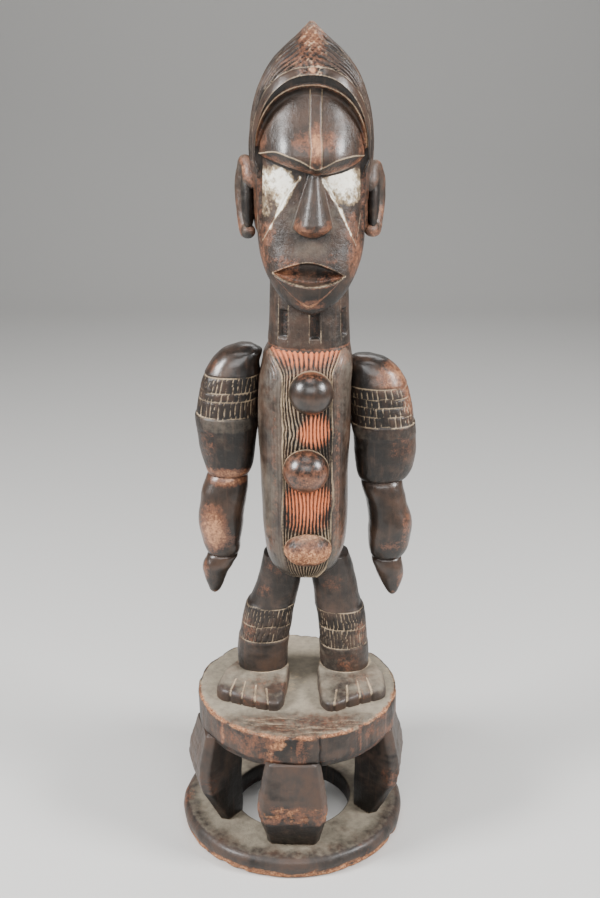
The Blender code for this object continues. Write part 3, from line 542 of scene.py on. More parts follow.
# height, centre x, half width, front y, back y
trunkCuts = ((518, 15, 33, -24, 30), (516, 15, 37, -30, 34), (505, 15, 42, -36, 38),
             (480, 12.5, 44, -42, 41), (450, 12, 44.6, -45, 41), (400, 12, 42.5, -46, 39),
             (350, 13, 41.6, -45, 37), (322, 13, 39.6, -42, 36), (303, 12.5, 35.2, -37, 33),
             (292, 13, 29, -31, 27), (284, 14, 18, -22, 18))
trunkSet = {
    "centreY": 2, "squareness": 2.6, "grooves": 14, "depth": 1.3, "sink": 1.0,
    "panelLeft": ((284, 3), (300, -4), (331, -8), (377, -8), (450, -9), (494, -9), (508, -15), (520, -24)),
    "panelRight": ((284, 24), (300, 33), (331, 38), (377, 38), (450, 38), (494, 38.5), (508, 43), (520, 49)),
    "ochre": ((13, 513, 34, 11, 0.9), (23, 445, 15, 17, 1.1), (12, 441, 8, 9, 0.6), (15, 374, 25, 20, 1.1),
              (14, 350, 26, 12, 0.5)),
    "wear": ((-16, 420, 4, 100, 0.25), (43, 420, 4, 90, 0.3), (-20, 516, 10, 8, 0.3), (48, 510, 8, 8, 0.4),
             (-24, 330, 8, 24, 0.3), (46, 330, 8, 28, 0.35), (14, 505, 30, 20, 0.35),
             (14, 372, 24, 26, 0.35)),
}
knobSet = (
    {"centre": (18, -42, 481), "size": (20.5, 19, 20.5),
     "wear": 0.1, "topWear": 0.35, "rough": 0.0, "pale": 0.0},
    {"centre": (13.5, -44, 406), "size": (21.5, 20, 21),
     "wear": 0.55, "topWear": 0.15, "rough": 0.1, "pale": 0.1},
    {"centre": (15.5, -40, 324), "size": (22.5, 17, 16.5),
     "wear": 0.9, "topWear": 0.3, "rough": 1.0, "pale": 0.8},
)


def makeTrunk(piece, rows=226, front=150, side=70):
    # oval rings, with upright grooves over the front panel that bow out round the knobs
    height = np.linspace(284, 518, rows)[:, None]
    centreX, halfWidth, frontY, backY = curveThrough(trunkCuts, height)
    across, along = flatFront(front, side, 0.93, trunkSet["squareness"])
    points = ovalRows(across, along, centreX, trunkSet["centreY"], halfWidth, frontY, backY, height)
    x, y, z = points[..., 0], points[..., 1], points[..., 2]
    left = curveThrough(trunkSet["panelLeft"], height)[0]
    right = curveThrough(trunkSet["panelRight"], height)[0]
    plainShare = np.clip((x - left) / (right - left), -0.2, 1.2)
    inner = limit(1 - np.abs(2 * plainShare - 1) ** 4)
    bend = 0.9 * softNoise(points, (14, 60, 26), 3) + 0.35 * softNoise(points, (5, 40, 9), 4)
    bend = bend + 1.6 * softNoise(points, (6, 40, 8), 5) * bell(z - 443, 14) * smoothStep(20, 8, x)
    for knob in knobSet:
        kx, kz = knob["centre"][0], knob["centre"][2]
        dx, dz = (x - kx) / knob["size"][0], (z - kz) / knob["size"][2]
        bend = bend - 5.0 * inner * np.tanh(dx * 1.4) * bell(dz, 1.15)
    share = (x + bend - left) / (right - left)
    isFront = y < -12
    panel = smoothStep(-0.03, 0.03, share) * smoothStep(1.03, 0.97, share) * isFront
    wave = np.cos(2 * pi * share * trunkSet["grooves"])
    ridge = smoothStep(-0.55, 0.65, wave)
    sink = panel * (trunkSet["sink"] + trunkSet["depth"] * (1 - ridge))
    bent = x + bend * 0.6
    stripes = np.cos(2 * pi * (bent - left) / 3.1) * smoothStep(-20, -3, x - left) * (share < 0)
    stripes = stripes + np.cos(2 * pi * (bent - right) / 2.8) * smoothStep(12, 2, x - right) * (share > 1)
    sink = sink + 0.22 * stripes * isFront * smoothStep(294, 320, z)
    points = lifted(points, -sink)
    paint = softPatches(x, z, trunkSet["ochre"]) * panel
    waver = 1.5 * softNoise(points, (40, 40, 22), 14)
    wide = right - left
    edgeLine = bell(share * wide + waver, 0.9) + bell((share - 1) * wide + waver, 0.9)
    faint = smoothStep(-0.4, 0.4, softNoise(points, (6, 30, 30), 15))
    collar = smoothStep(511, 517, z)
    masks = {
        "ochre": limit(paint * (0.42 + 0.68 * ridge) + 0.35 * collar * isFront),
        "groove": limit(panel * ridge * (1 - 0.7 * paint) * (0.55 + 0.35 * softNoise(points, (20, 60, 28), 8))
                        + 0.6 * edgeLine * isFront * (0.7 + 0.5 * softNoise(points, 24, 9))
                        + 0.38 * limit(stripes) * isFront * faint),
        "wear": limit(softPatches(x, z, trunkSet["wear"]) * isFront),
        "dust": (1 - panel) * isFront * (0.25 + 0.35 * smoothStep(-0.5, 0.5, softNoise(points, 32, 12))),
        "gloss": 0.6 * (1 - panel),
        # painted shade in the bottoms of the panel's grooves
        "shade": -0.7 * panel * (1 - ridge) + 0.15 * (1 - panel),
    }
    points = handWornAndShaded(points, masks, 0.4, 21, edgeWear=0.3)
    addShell(piece, points, masks)


def makeKnob(piece, knob, rows=44, columns=72):
    # half ball turned round the y axis: rows run from its back to its front
    tilt = np.linspace(0.35 * pi, 0.995 * pi, rows)[:, None]
    around = np.arange(columns)[None, :] * 2 * pi / columns
    shape = np.stack([np.sin(tilt) * np.cos(around), np.cos(tilt) + 0 * around,
                      -np.sin(tilt) * np.sin(around)], axis=2)
    centre = np.array(knob["centre"])
    points = faceOutward(centre + shape * np.array(knob["size"]), centre)
    lump = knob["rough"] * (0.6 * roughNoise(points, 9, 31) + 0.5 * np.abs(softNoise(points, 4, 32)))
    points = lifted(points, lump + 0.2 * softNoise(points, 13, 33))
    up = (points[..., 2] - centre[2]) / knob["size"][2]
    out = -(points[..., 1] - centre[1]) / knob["size"][1]
    low = limit(1.45 - 1.8 * np.abs(up + 0.12))
    masks = {
        "wear": limit(knob["wear"] * (0.5 + 0.5 * low) * smoothStep(-1.3, 0.5, roughNoise(points, 16, 34))
                      + knob["topWear"] * smoothStep(0.5, 0.95, up)),
        "groove": limit(0.7 * smoothStep(0.2, 0.02, out) + 0.5 * knob["pale"] * smoothStep(0.5, 0.9, up)),
        "dust": 0.4 * knob["pale"] * smoothStep(0.2, 0.8, up) + 0.08,
        "raw": 0.8 * knob["rough"] * smoothStep(-1.1, 0.2, roughNoise(points, 8, 35)) * low,
        "gloss": 0.9 * (1.0 - knob["rough"]),
        "shade": 0.25,
    }
    addShell(piece, points, masks)


faceSet = {
    "centreX": 18, "squareness": 2.5,
    "forehead": ((655, 49.5, -56, 49), (684, 49.5, -58.6, 50), (690, 49.5, -59, 50), (700, 49.5, -57.2, 50),
                 (711, 49.3, -54, 50), (726, 46.5, -49, 46), (741, 40, -43.5, 38), (751, 31, -40, 30),
                 (757, 22, -38.5, 24), (761, 11, -37.5, 16)),
    "foreheadSquareness": 2.15,
    "foreheadLobes": ((-5, 697), (41, 697)), "lobeSize": (17, 16), "lobeRise": 3.2,
    "archFloor": ((690, -22), (712, -31), (728, -38.5), (744, -46.5), (753, -50), (761, -53)),
    "cheek": ((556, 5, -51, -44), (560, 16, -54, -34), (567, 25.5, -56, -20), (576, 33.5, -57, -4),
              (590, 41.5, -56.5, 20), (603, 46, -54, 34), (618, 48.2, -50, 42), (646, 49, -46, 47),
              (669, 49.5, -43.5, 49), (700, 49.5, -43.0, 50), (730, 49.5, -43, 46)),
    "browTop": ((-34, 689), (-28, 692.5), (-13, 696.7), (-0.4, 693.4), (10, 689.3), (17.3, 685), (21.5, 683),
                (26.6, 684.3), (41.7, 691), (54.3, 692.5), (64, 690.5), (71, 687)),
    "browLow": ((-34, 688), (-28, 690.5), (-13, 687), (-0.4, 683), (10, 680), (17.3, 678), (21.5, 677),
                (26.6, 677.3), (41.8, 679.8), (54, 683.5), (64, 687.6), (71, 686)),
    "domeCentre": (17.5, 690), "domeSize": (49.5, 62.0),
    "strip": 21.5, "stripHalf": 4.6, "stripTop": 748, "stripFoot": 684,
    "mouth": (16, 590.8), "mouthHalf": 31.5, "mouthRise": 12, "mouthDrop": 7.8, "mouthDepth": 9,
    "lipPoint": (15.5, 563.4), "lipCorners": ((-13, 588), (44, 587)),
    "lines": (((-30, 688), (-30.6, 655), (-29.3, 623)), ((8, 674.3), (-4, 658), (-25.7, 616.3)),
              ((26.6, 672.6), (43, 646), (57.2, 614.6)), ((66.5, 685), (64, 655), (58, 622))),
    "kaolin": ((-14, 671, 17, 14, 1.1), (-22, 650, 6, 14, 0.55), (-7, 657, 9, 13, 0.65),
               (44, 672, 17, 12, 1.1), (52, 658, 10, 11, 0.6), (42, 660, 8, 11, 0.5), (61, 668, 5, 12, 0.35)),
    "dust": ((17, 613, 26, 9, 0.5), (6, 640, 14, 20, 0.5), (34, 640, 14, 20, 0.5), (21, 680, 12, 8, 0.4)),
    "wear": ((21.5, 704, 6, 16, 0.95), (9, 706, 9, 9, 0.5), (35, 706, 10, 9, 0.5), (62, 702, 6, 18, 0.4),
             (-25, 600, 7, 18, 0.4), (57, 605, 8, 22, 0.55), (-25, 705, 6, 14, 0.35), (17, 566, 14, 5, 0.45),
             (-20, 626, 8, 12, 0.45), (-4, 603, 14, 7, 0.4), (52, 634, 8, 14, 0.4), (36, 606, 10, 7, 0.25)),
    "noseWear": ((18, 628, 17, 7, 0.45), (6, 634, 6, 8, 0.5), (32, 633, 6, 7, 0.5), (20, 650, 3, 20, 0.2)),
}


def ovalFront(table, x, z, centreX, squareness, shift=6):
    # y of the front and back of a squared oval whose half width, front and back change with height
    halfWidth, front, back = curveThrough(table, z)
    middle = (front + back) / 2 + shift
    share = limit(np.abs(x - centreX) / np.maximum(halfWidth, 1))
    return middle - (middle - front) * (1 - share ** squareness) ** (1 / squareness)


def noseShape(x, z, behindY):
    # the nose: a rounded ridge that widens and comes forward as it runs down, cut off in a curve
    down = limit((682 - z) / 50)
    middle = 20.8 - 2.0 * down
    half = 3.6 + 14.2 * down
    side = limit(np.abs(x - middle) / half)
    ridge = -46 - 22.0 * down ** 0.9 + 7.0 * smoothStep(638, 624, z)
    base = 624 + 8.5 * side ** 2
    above = limit((z - base) / 7.5)
    rounded = (1 - side ** 2.2) ** 0.75 * np.sqrt(1 - (1 - above) ** 2) * smoothStep(685, 676, z)
    return np.minimum(behindY, behindY + (ridge - behindY) * rounded), rounded, base


def makeHeadBlock(piece, rows=262, front=150, side=58):
    # a front surface y(x, z) made of forehead, brow facets, cheeks, nose, mouth and lip,
    # and a plain oval behind it
    fs = faceSet
    rowZ = np.linspace(556, 761, rows)[:, None]
    across, along = flatFront(front, side, 0.975, fs["squareness"])
    halfWidth = curveThrough(fs["cheek"], rowZ)[0]
    halfWidth = np.where(rowZ > 684, curveThrough(fs["forehead"], rowZ)[0], halfWidth)
    x = fs["centreX"] + halfWidth * across
    isFront = along < -0.12
    browLow = curveThrough(fs["browLow"], x)[0]
    nearBrow = smoothStep(652, 682, rowZ) * smoothStep(724, 684, rowZ)
    z = rowZ + (browLow - 683) * nearBrow * smoothStep(0.1, -0.4, along)
    browTop = curveThrough(fs["browTop"], x)[0]
    foreheadY = ovalFront(fs["forehead"], x, z, fs["centreX"], fs["foreheadSquareness"])
    lobes = 0
    for lobeX, lobeZ in fs["foreheadLobes"]:
        lobes = lobes + bell(x - lobeX, fs["lobeSize"][0]) * bell(z - lobeZ, fs["lobeSize"][1])
    foreheadY = foreheadY - fs["lobeRise"] * lobes
    cheekY = ovalFront(fs["cheek"], x, z, fs["centreX"], fs["squareness"])

    # brow facets lean back from the forehead's lower edge, then drop to the cheeks
    facet = limit((browTop - z) / np.maximum(browTop - browLow, 0.5))
    aboveY = foreheadY + 8.5 * facet * smoothStep(0.3, 3, browTop - browLow)
    under = smoothStep(browLow + 0.6, browLow - 0.8, z)
    frontY = aboveY * (1 - under) + cheekY * under

    # channel between the forehead's dome and the hair
    dome = ((np.abs(x - fs["domeCentre"][0]) / fs["domeSize"][0]) ** 2.2
            + (np.clip(z - fs["domeCentre"][1], 0, None) / fs["domeSize"][1]) ** 2.2) ** (1 / 2.2)
    channel = smoothStep(0.98, 1.03, dome) * smoothStep(688, 696, z)
    rise = smoothStep(0.84, 1.0, dome) * smoothStep(684, 700, z)
    floorY = curveThrough(fs["archFloor"], z)[0]
    frontY = frontY * (1 - rise) + np.minimum(frontY, floorY) * rise + 1.2 * channel
    domeEdge = bell(dome - 0.985, 0.013) * smoothStep(692, 700, z)

    # strip down the forehead between two grooves
    waver = 0.6 * softNoise(np.stack([x * 0, x * 0, z], -1), 14, 5)
    stripSide = np.abs(x - fs["strip"] - waver) - fs["stripHalf"]
    inStrip = smoothStep(fs["stripFoot"] - 2, fs["stripFoot"] + 1, z)
    inStrip = inStrip * smoothStep(fs["stripTop"] + 1, fs["stripTop"] - 1, z)
    stripLine = bell(stripSide - 0.4, 0.65) * inStrip
    frontY = frontY - 0.7 * smoothStep(0.6, -0.6, stripSide) * inStrip + 0.9 * stripLine

    # nose
    frontY, noseArea, base = noseShape(x, z, frontY)
    noseLine = bell(z - base + 1.2, 1.6) * (np.abs(x - 19.5) < 15)

    # mouth: a lens sunk under a crisp upper edge, deepest just above the lower lip
    mouthShare = limit(np.abs(x - fs["mouth"][0]) / fs["mouthHalf"])
    within = np.abs(x - fs["mouth"][0]) < fs["mouthHalf"] * 1.03
    lens = 1 - mouthShare ** 1.8
    tilt = -0.04 * (x - fs["mouth"][0])
    topZ = fs["mouth"][1] + tilt + fs["mouthRise"] * lens
    lowZ = fs["mouth"][1] + tilt - fs["mouthDrop"] * lens
    inMouth = limit((topZ - z) / np.maximum(topZ - lowZ, 0.6))
    hollow = smoothStep(0.0, 0.1, inMouth) * (0.35 + 0.65 * smoothStep(0.0, 0.75, inMouth))
    hollow = hollow * smoothStep(1.0, 0.93, inMouth) * (mouthShare < 1)
    frontY = frontY + fs["mouthDepth"] * hollow * np.sqrt(limit(lens))
    mouthEdge = bell(z - topZ - 0.5, 0.7) * within
    lipEdge = bell(z - lowZ + 0.4, 0.7) * within

    # lower lip: a facet that leans out to its top edge and ends in a V on the chin
    (leftX, leftZ), (rightX, rightZ), (pointX, pointZ) = *fs["lipCorners"], fs["lipPoint"]
    leftEdge = pointZ + (leftZ - pointZ) * np.clip((pointX - x) / (pointX - leftX), 0, 1.2) ** 1.25
    rightEdge = pointZ + (rightZ - pointZ) * np.clip((x - pointX) / (rightX - pointX), 0, 1.2) ** 1.25
    edge = np.where(x < pointX, leftEdge, rightEdge)
    lip = smoothStep(-0.4, 1.2, z - edge) * smoothStep(0.8, -0.8, z - lowZ)
    lipLean = limit((z - pointZ) / (583 - pointZ))
    frontY = frontY - lip * (1.8 + 3.0 * lipLean)
    lipLine = bell(z - edge, 0.8) * (z < lowZ + 1) * (edge < 590)
    frontY = frontY + 0.4 * lipLine

    # cheek lines, and a small leaf-shaped nick under the right brow
    clear = (z < browLow - 0.5) * (1 - smoothStep(0.02, 0.12, noseArea))
    cheekLines = cutLines(x, z, fs["lines"], 1.7) * clear
    nick = limit(1 - np.abs(lineDistance(x, z, ((52, 667), (60, 671.5)))) / 1.7)
    frontY = frontY + 0.8 * cheekLines + 0.7 * nick
    leftEnd = np.interp(z, (616.5, 645, 676), (-25.7, -6, 13))
    rightEnd = np.interp(z, (615, 650, 674), (57.1, 38, 25))
    beside = np.where(x < 20, smoothStep(0.5, -2.5, x - leftEnd), smoothStep(-0.5, 2.5, x - rightEnd))
    streaks = cutLines(x, z, fs["lines"][1:3], 5.0) * smoothStep(614, 626, z) * (beside > 0)

    # the front surface runs into the sides of a plain oval
    upper, lower = curveThrough(fs["forehead"], z), curveThrough(fs["cheek"], z)
    frontRow, backY = (np.where(z > 690, upper[n], lower[n]) for n in (1, 2))
    middle = (frontRow + backY) / 2 + 6
    sideY = middle + np.where(along < 0, middle - frontRow, backY - middle) * along
    join = smoothStep(-0.12, -0.3, along)
    y = np.where(isFront, sideY * (1 - join) + frontY * join, sideY)
    points = np.stack([x, y, z], axis=2)

    gap = bell(z - browLow + 2.2, 2.0) * join
    eyes = smoothStep(690, 682, z) * smoothStep(622, 640, z)
    broad = 0.55 + 0.55 * softNoise(points, (7, 30, 11), 44)
    flaky = smoothStep(-0.5, 0.5, roughNoise(points, (4, 30, 7), 45))
    browEdge = bell(z - browTop, 0.8) * smoothStep(0.4, 2, browTop - browLow)
    browWear = facet * (1 - under) * smoothStep(1, 3, browTop - browLow) * (z < browTop)
    mouthWear = hollow * (0.22 + 0.4 * mouthShare ** 2 + 0.3 * smoothStep(12, -10, x))
    domeWear = bell(dome - 0.97, 0.03) * smoothStep(692, 700, z)
    painted = join * (z < browLow - 2.5) * (z > 614) * (noseArea < 0.1)
    masks = {
        "kaolin": limit(softPatches(x, z, fs["kaolin"]) * beside * (0.55 + 0.5 * broad) * eyes
                      + 0.75 * streaks * flaky + 0.3 * cheekLines) * painted,
        "groove": limit(0.55 * cheekLines + 0.6 * stripLine + 0.6 * mouthEdge + 0.6 * lipEdge
                      + 0.3 * lipLine + 0.75 * domeEdge + 0.15 * gap + 0.95 * browEdge)
                  * join * (0.75 + 0.45 * broad),
        "wear": limit(softPatches(x, z, fs["wear"]) * (noseArea < 0.1)
                    + softPatches(x, z, fs["noseWear"]) * smoothStep(0.0, 0.2, noseArea)
                    + 0.55 * browWear + mouthWear + 0.12 * lip + 0.4 * lipLine + 0.12 * channel
                    + 0.3 * domeWear) * join,
        "dust": limit(softPatches(x, z, fs["dust"]) * join * smoothStep(0.5, 0.0, noseArea)),
        "gloss": limit(smoothStep(686, 696, z) * (1 - channel) * 0.75 * lobes ** 2 + noseArea * 0.08),
        # painted shade in the channel under the hair, in the gap under the brows and along the line under the
        # nose; the mouth's hollow is darker towards its right
        "shade": 0.1 - 0.5 * channel - 0.4 * hollow * smoothStep(-14, 10, x - 12) - 0.4 * (gap + noseLine),
    }
    points = handWornAndShaded(points, masks, 0.22, 41, edgeWear=0.45)
    addShell(piece, points, masks)


# height, half width, front y, back y
hairCuts = ((612, 47, 2, 40), (626, 51.6, -26, 50), (660, 53, -36, 57), (694, 55, -50, 60),
            (712, 54, -57, 58), (728, 51.5, -60.5, 54), (744, 47.2, -60.5, 48), (757, 41.5, -57, 42),
            (769, 33.9, -49, 36), (780, 23.5, -37, 29), (790, 12, -24, 20), (797, 4.5, -12, 12),
            (800, 1.5, -4, 6))
hairSet = {"centre": (18, -2, 690), "squareness": 2.4, "archSize": (49.0, 69.5), "archFoot": 600,
           "archDepth": -24, "ridges": 8, "ridgeDepth": 1.4, "smoothLobe": 8.0, "parting": 26,
           "wear": ((18, 790, 12, 12, 1.0), (0, 768, 12, 10, 0.6))}


def hairInside(points):
    # below 1 inside the helmet of hair, above 1 outside: the squared oval of the level through each point
    z = points[..., 2]
    halfWidth, front, back = curveThrough(hairCuts, z)
    x = np.abs(points[..., 0] - hairSet["centre"][0]) / halfWidth
    y = np.abs(points[..., 1] - (front + back) / 2) / ((back - front) / 2)
    level = x ** hairSet["squareness"] + y ** hairSet["squareness"]
    return np.where((z > 800) | (z < 612), 9.0, level)


def hairReach(direction):
    # distance from the middle of the head to the hair's surface along each direction, by halving steps
    low = np.zeros(direction.shape[:-1])
    high = np.full(direction.shape[:-1], 150.0)
    for _ in range(34):
        middle = (low + high) / 2
        inside = hairInside(np.array(hairSet["centre"]) + direction * middle[..., None]) < 1
        low, high = np.where(inside, middle, low), np.where(inside, high, middle)
    return (low + high) / 2


def rays(tilt, turn):
    # directions out of the head's middle: tilted from straight ahead, and turned round that line
    return np.stack([np.sin(tilt) * np.cos(turn), -np.cos(tilt) + 0 * turn, np.sin(tilt) * np.sin(turn)], 2)


def makeHair(piece, rows=230, columns=300):
    # rays out of the head's middle, from the front round to the back, starting at the arch over the face
    cx, _, cz = hairSet["centre"]
    turn = -frontDense(columns, 0.45) * 2 * pi + pi / 2
    coarse = np.linspace(0.02, pi / 2 + 0.5, 160)[:, None]
    reach = hairReach(rays(coarse, turn))
    radius = reach * np.sin(coarse)
    outline = radius.max(axis=0)
    width, rise = hairSet["archSize"]
    width = width - 3.0 * smoothStep(0.0, -0.25, np.sin(turn))
    arch = 1 / ((np.abs(np.cos(turn)) / width) ** 2.2 + (np.abs(np.sin(turn)) / rise) ** 2.2) ** (1 / 2.2)
    straight = np.minimum(width / np.maximum(np.abs(np.cos(turn)), 1e-3),
                          (cz - hairSet["archFoot"]) / np.maximum(np.abs(np.sin(turn)), 1e-3))
    arch = np.minimum(np.where(np.sin(turn) < 0, straight, arch), outline * 0.955)
    first = np.argmax(radius >= arch, axis=0)
    pick = np.arange(columns)
    before = np.clip(first - 1, 0, None)
    gap = np.maximum(radius[first, pick] - radius[before, pick], 1e-6)
    part = limit((arch - radius[before, pick]) / gap)
    start = coarse[before, 0] + (coarse[first, 0] - coarse[before, 0]) * part
    share = np.linspace(0, 1, rows)[:, None] ** 1.35
    tilt = start + (pi * 0.997 - start) * share
    direction = rays(tilt, turn)
    outer = np.array(hairSet["centre"]) + direction * hairReach(direction)[..., None]
    wallShare = np.linspace(0, 1, 9)[:-1, None]
    edge = outer[0]
    inward = np.stack([np.cos(turn), 0 * turn, np.sin(turn)], 1)
    deep = hairSet["archDepth"]
    wall = np.stack([edge[:, 0] + 0 * wallShare, deep + (edge[:, 1] - 0.6 - deep) * wallShare,
                     edge[:, 2] + 0 * wallShare], axis=2)
    wall = wall + inward * (1.6 * np.sin(wallShare * pi))[..., None]
    points = np.concatenate([wall, outer])
    x, y, z = points[..., 0], points[..., 1], points[..., 2]

    flat = np.hypot(x - cx, z - cz)
    front = limit((flat - arch) / np.maximum(outline - arch, 1))
    steps = np.linalg.norm(np.diff(points, axis=0), axis=2)
    length = np.concatenate([np.zeros((1, columns)), np.cumsum(steps, axis=0)])
    length = length - length[8]
    beyond = np.argmax(front > 0.995, axis=0)
    past = np.clip(length - length[beyond, pick], 0, None)
    count = hairSet["ridges"] * front + past / 5.2
    wave = np.cos(2 * pi * (count + 0.35 * softNoise(points, (10, 10, 22), 51)))
    parting = hairSet["parting"]
    combed = np.cos(2 * pi * (x - cx) / 6.5 + 1.2 * softNoise(points, (12, 12, 30), 56))
    behind = smoothStep(parting - 0.5, parting + 0.5, past)
    wave = wave * (1 - behind) + combed * behind * smoothStep(620, 650, z)
    partLine = bell(past - parting, 1.1)
    gapLine = smoothStep(-0.35, -0.9, wave)
    onTop = smoothStep(0.0, 0.25, np.sin(turn) + 0.35)
    lobe = hairSet["smoothLobe"] + 3.0 * np.abs(np.cos(turn)) * smoothStep(0, 0.6, np.sin(turn))
    ridged = smoothStep(lobe - 1, lobe + 1.5, length) * onTop
    crossed = bell(x - cx, 13, 4) * smoothStep(742, 762, z) * (y < 0)
    stray = 3.6 * softNoise(points, (7, 9, 5), 52)
    hatch = np.maximum(np.cos(2 * pi * (x + 1.1 * z) / 4.4 + stray),
                       np.cos(2 * pi * (x - 0.9 * z) / 5.1 - stray))
    hatch = 0.6 * hatch + 0.9 * roughNoise(points, 4, 57)
    crest = bell(wave + 0.15, 0.3) * smoothStep(-0.7, 0.2, softNoise(points, (9, 9, 14), 58))
    combing = (0.35 * wave - 1.1 * gapLine) * hairSet["ridgeDepth"]
    relief = ridged * ((1 - crossed) * combing + crossed * 0.6 * hatch)
    relief = relief * (1 - 0.4 * behind) - 0.8 * partLine
    lobeLine = bell(length - lobe, 0.8) * onTop
    points = lifted(points, relief - 0.6 * lobeLine)
    row = np.arange(len(points))[:, None]
    lip = bell(length - 0.6, 1.2) * (row >= 7)
    knot = softPatches(x, length, ((18.5, 4.6, 2.6, 2.8, 1.0),)) * onTop
    besideKnot = softPatches(x, length, ((12, 4.8, 2.6, 2.6, 1.0), (25, 4.8, 2.6, 2.6, 1.0))) * onTop
    points = lifted(points, 0.5 * knot - 0.9 * besideKnot)
    dusty = ridged * crest * 0.62 * (1 - crossed) * (0.75 + 0.6 * softNoise(points, 18, 53))
    temple = smoothStep(690, 670, z) * (y < 10)
    masks = {
        "groove": limit(dusty * (1 - 0.6 * behind) + 0.5 * lobeLine + 0.5 * lip
                      + 0.7 * crossed * smoothStep(0.35, 0.9, hatch)),
        "wear": limit(crossed * (0.24 + 0.2 * hatch) + 0.95 * knot + 0.3 * temple
                    + 0.3 * softPatches(x, z, hairSet["wear"]) * (y < 0)
                    + 0.15 * ridged * smoothStep(0.3, 1, wave)),
        "dust": 0.35 * ridged * smoothStep(-0.6, 0.4, softNoise(points, 30, 54)) + 0.3 * temple,
        "gloss": 0.8 * (1 - ridged),
        # painted shade on the arch's inner wall, in the gaps between the ridges, in the low spots of the
        # hatching and in the sunken spots beside the knot
        "shade": 0.3 * (1 - ridged) * (row >= 8) - 0.3 * (row < 8) + 0.15 * ridged - 0.7 * ridged * gapLine
                 - 0.5 * crossed * smoothStep(0.1, -0.4, hatch) - 0.9 * besideKnot,
    }
    points = handWornAndShaded(points, masks, 0.35, 55, edgeWear=0.25)
    addShell(piece, points, masks)


earSet = {"left": (-40.3, 8, 651, 31.5, -1), "right": (75, 8, 649.5, 28.5, 1),
          "halfDepth": 12, "roll": 5.4, "spread": radians(25), "start": 165, "sweep": 290}


def makeEar(piece, side, rows=90, columns=26):
    # a roll carried round an oval path, thicker at both ends, with a plate inside it
    cx, cy, cz, halfHeight, sign = earSet[side]
    share = np.linspace(0, 1, rows)[:, None]
    angle = np.radians(earSet["start"] - earSet["sweep"] * share)
    along, rise = earSet["halfDepth"] * np.cos(angle), halfHeight * np.sin(angle)
    heading = np.arctan2(np.gradient(rise[:, 0]), np.gradient(along[:, 0]))[:, None]
    around = np.arange(columns)[None, :] * 2 * pi / columns
    ends = np.sqrt(np.clip(1 - (2 * share - 1) ** 14, 0.02, 1))
    roll = earSet["roll"] * (1 + 0.4 * smoothStep(0.72, 1, share) + 0.35 * smoothStep(0.2, 0, share)) * ends
    out, across = roll * np.cos(around), roll * np.sin(around)
    localY, localZ = along - across * np.sin(heading), rise + across * np.cos(heading)
    x = cx + sign * (out + localY * np.sin(earSet["spread"]))
    y = cy + localY * np.cos(earSet["spread"])
    points = np.stack([x, y, cz + localZ], axis=2)
    points = faceOutward(points, points.mean(axis=1, keepdims=True))
    points = lifted(points, 0.8 * softNoise(points, 9, 65))
    masks = {"wear": limit(0.3 + 0.9 * roughNoise(points, 13, 61)), "dust": 0.35, "shade": 0.3,
             "groove": limit(0.5 * roughNoise(points, 7, 64))}
    points = handWornAndShaded(points, masks, 0.8, 62, edgeWear=0.25)
    addShell(piece, points, masks)

    tilt = np.linspace(0.06, 0.94, 26)[:, None] * pi
    turn = np.arange(40)[None, :] * 2 * pi / 40
    shape = np.stack([np.sin(tilt) * np.cos(turn) * 6.5, np.sin(tilt) * np.sin(turn) * earSet["halfDepth"],
                      -np.cos(tilt) * halfHeight + 0 * turn], axis=2)
    points = np.array([cx - sign * 1.5, cy - 1, cz]) + shape
    # painted shade in the hollow inside the ear's roll
    masks = {"wear": 0.12, "dust": 0.3, "shade": -0.6}
    points = handWornAndShaded(points, masks, 0.4, 63)
    addShell(piece, points, masks)


neckSet = {"centre": (16.5, 6), "half": (37.5, 33), "slots": 7, "slotHalf": 4.5, "slotTop": 552.5,
           "slotFoot": 527.5, "slotDepth": 4.0, "firstSlot": -81}


def makeNeck(piece, rows=74, columns=220):
    # oval column with upright slots sunk between straight walls
    height = np.linspace(504, 602, rows)[:, None]
    share = curveThrough(((504, 1.08), (518, 1.03), (540, 1.0), (602, 0.95)), height)[0]
    across, along = ovalSide(frontDense(columns, 0.5), 2.2)
    halfWidth, halfDepth = neckSet["half"][0] * share, neckSet["half"][1] * share
    cx, cy = neckSet["centre"]
    points = ovalRows(across, along, cx, cy, halfWidth, cy - halfDepth, cy + halfDepth, height)
    angle = np.degrees(np.arctan2(points[..., 1] - cy, points[..., 0] - cx))
    step = 360 / neckSet["slots"]
    off = (angle - neckSet["firstSlot"] + step / 2) % step - step / 2
    reach = np.hypot(points[..., 0] - cx, points[..., 1] - cy)
    aside = np.abs(np.radians(off)) * reach
    tall = smoothStep(neckSet["slotFoot"] - 0.5, neckSet["slotFoot"] + 0.7, height)
    tall = tall * smoothStep(neckSet["slotTop"] + 0.5, neckSet["slotTop"] - 0.7, height)
    slot = smoothStep(neckSet["slotHalf"] + 0.4, neckSet["slotHalf"] - 0.6, aside) * tall
    rim = bell(aside - neckSet["slotHalf"] - 0.9, 0.8) * smoothStep(518, 524, height)
    ring = bell(height - 517.5, 1.4)
    points = lifted(points, -(slot * neckSet["slotDepth"] + 0.25 * rim + 0.5 * ring))
    # painted shade in the slots
    masks = {"groove": limit(0.5 * rim * (0.8 + 0.6 * softNoise(points, 9, 72)) + 0.2 * ring),
             "wear": 0.45 * ring + 0.2 * slot, "dust": 0.3 * (1 - slot), "shade": -0.5 * slot,
             "ochre": 0.3 * ring}
    points = handWornAndShaded(points, masks, 0.35, 71, edgeWear=0.2)
    addShell(piece, points, masks)


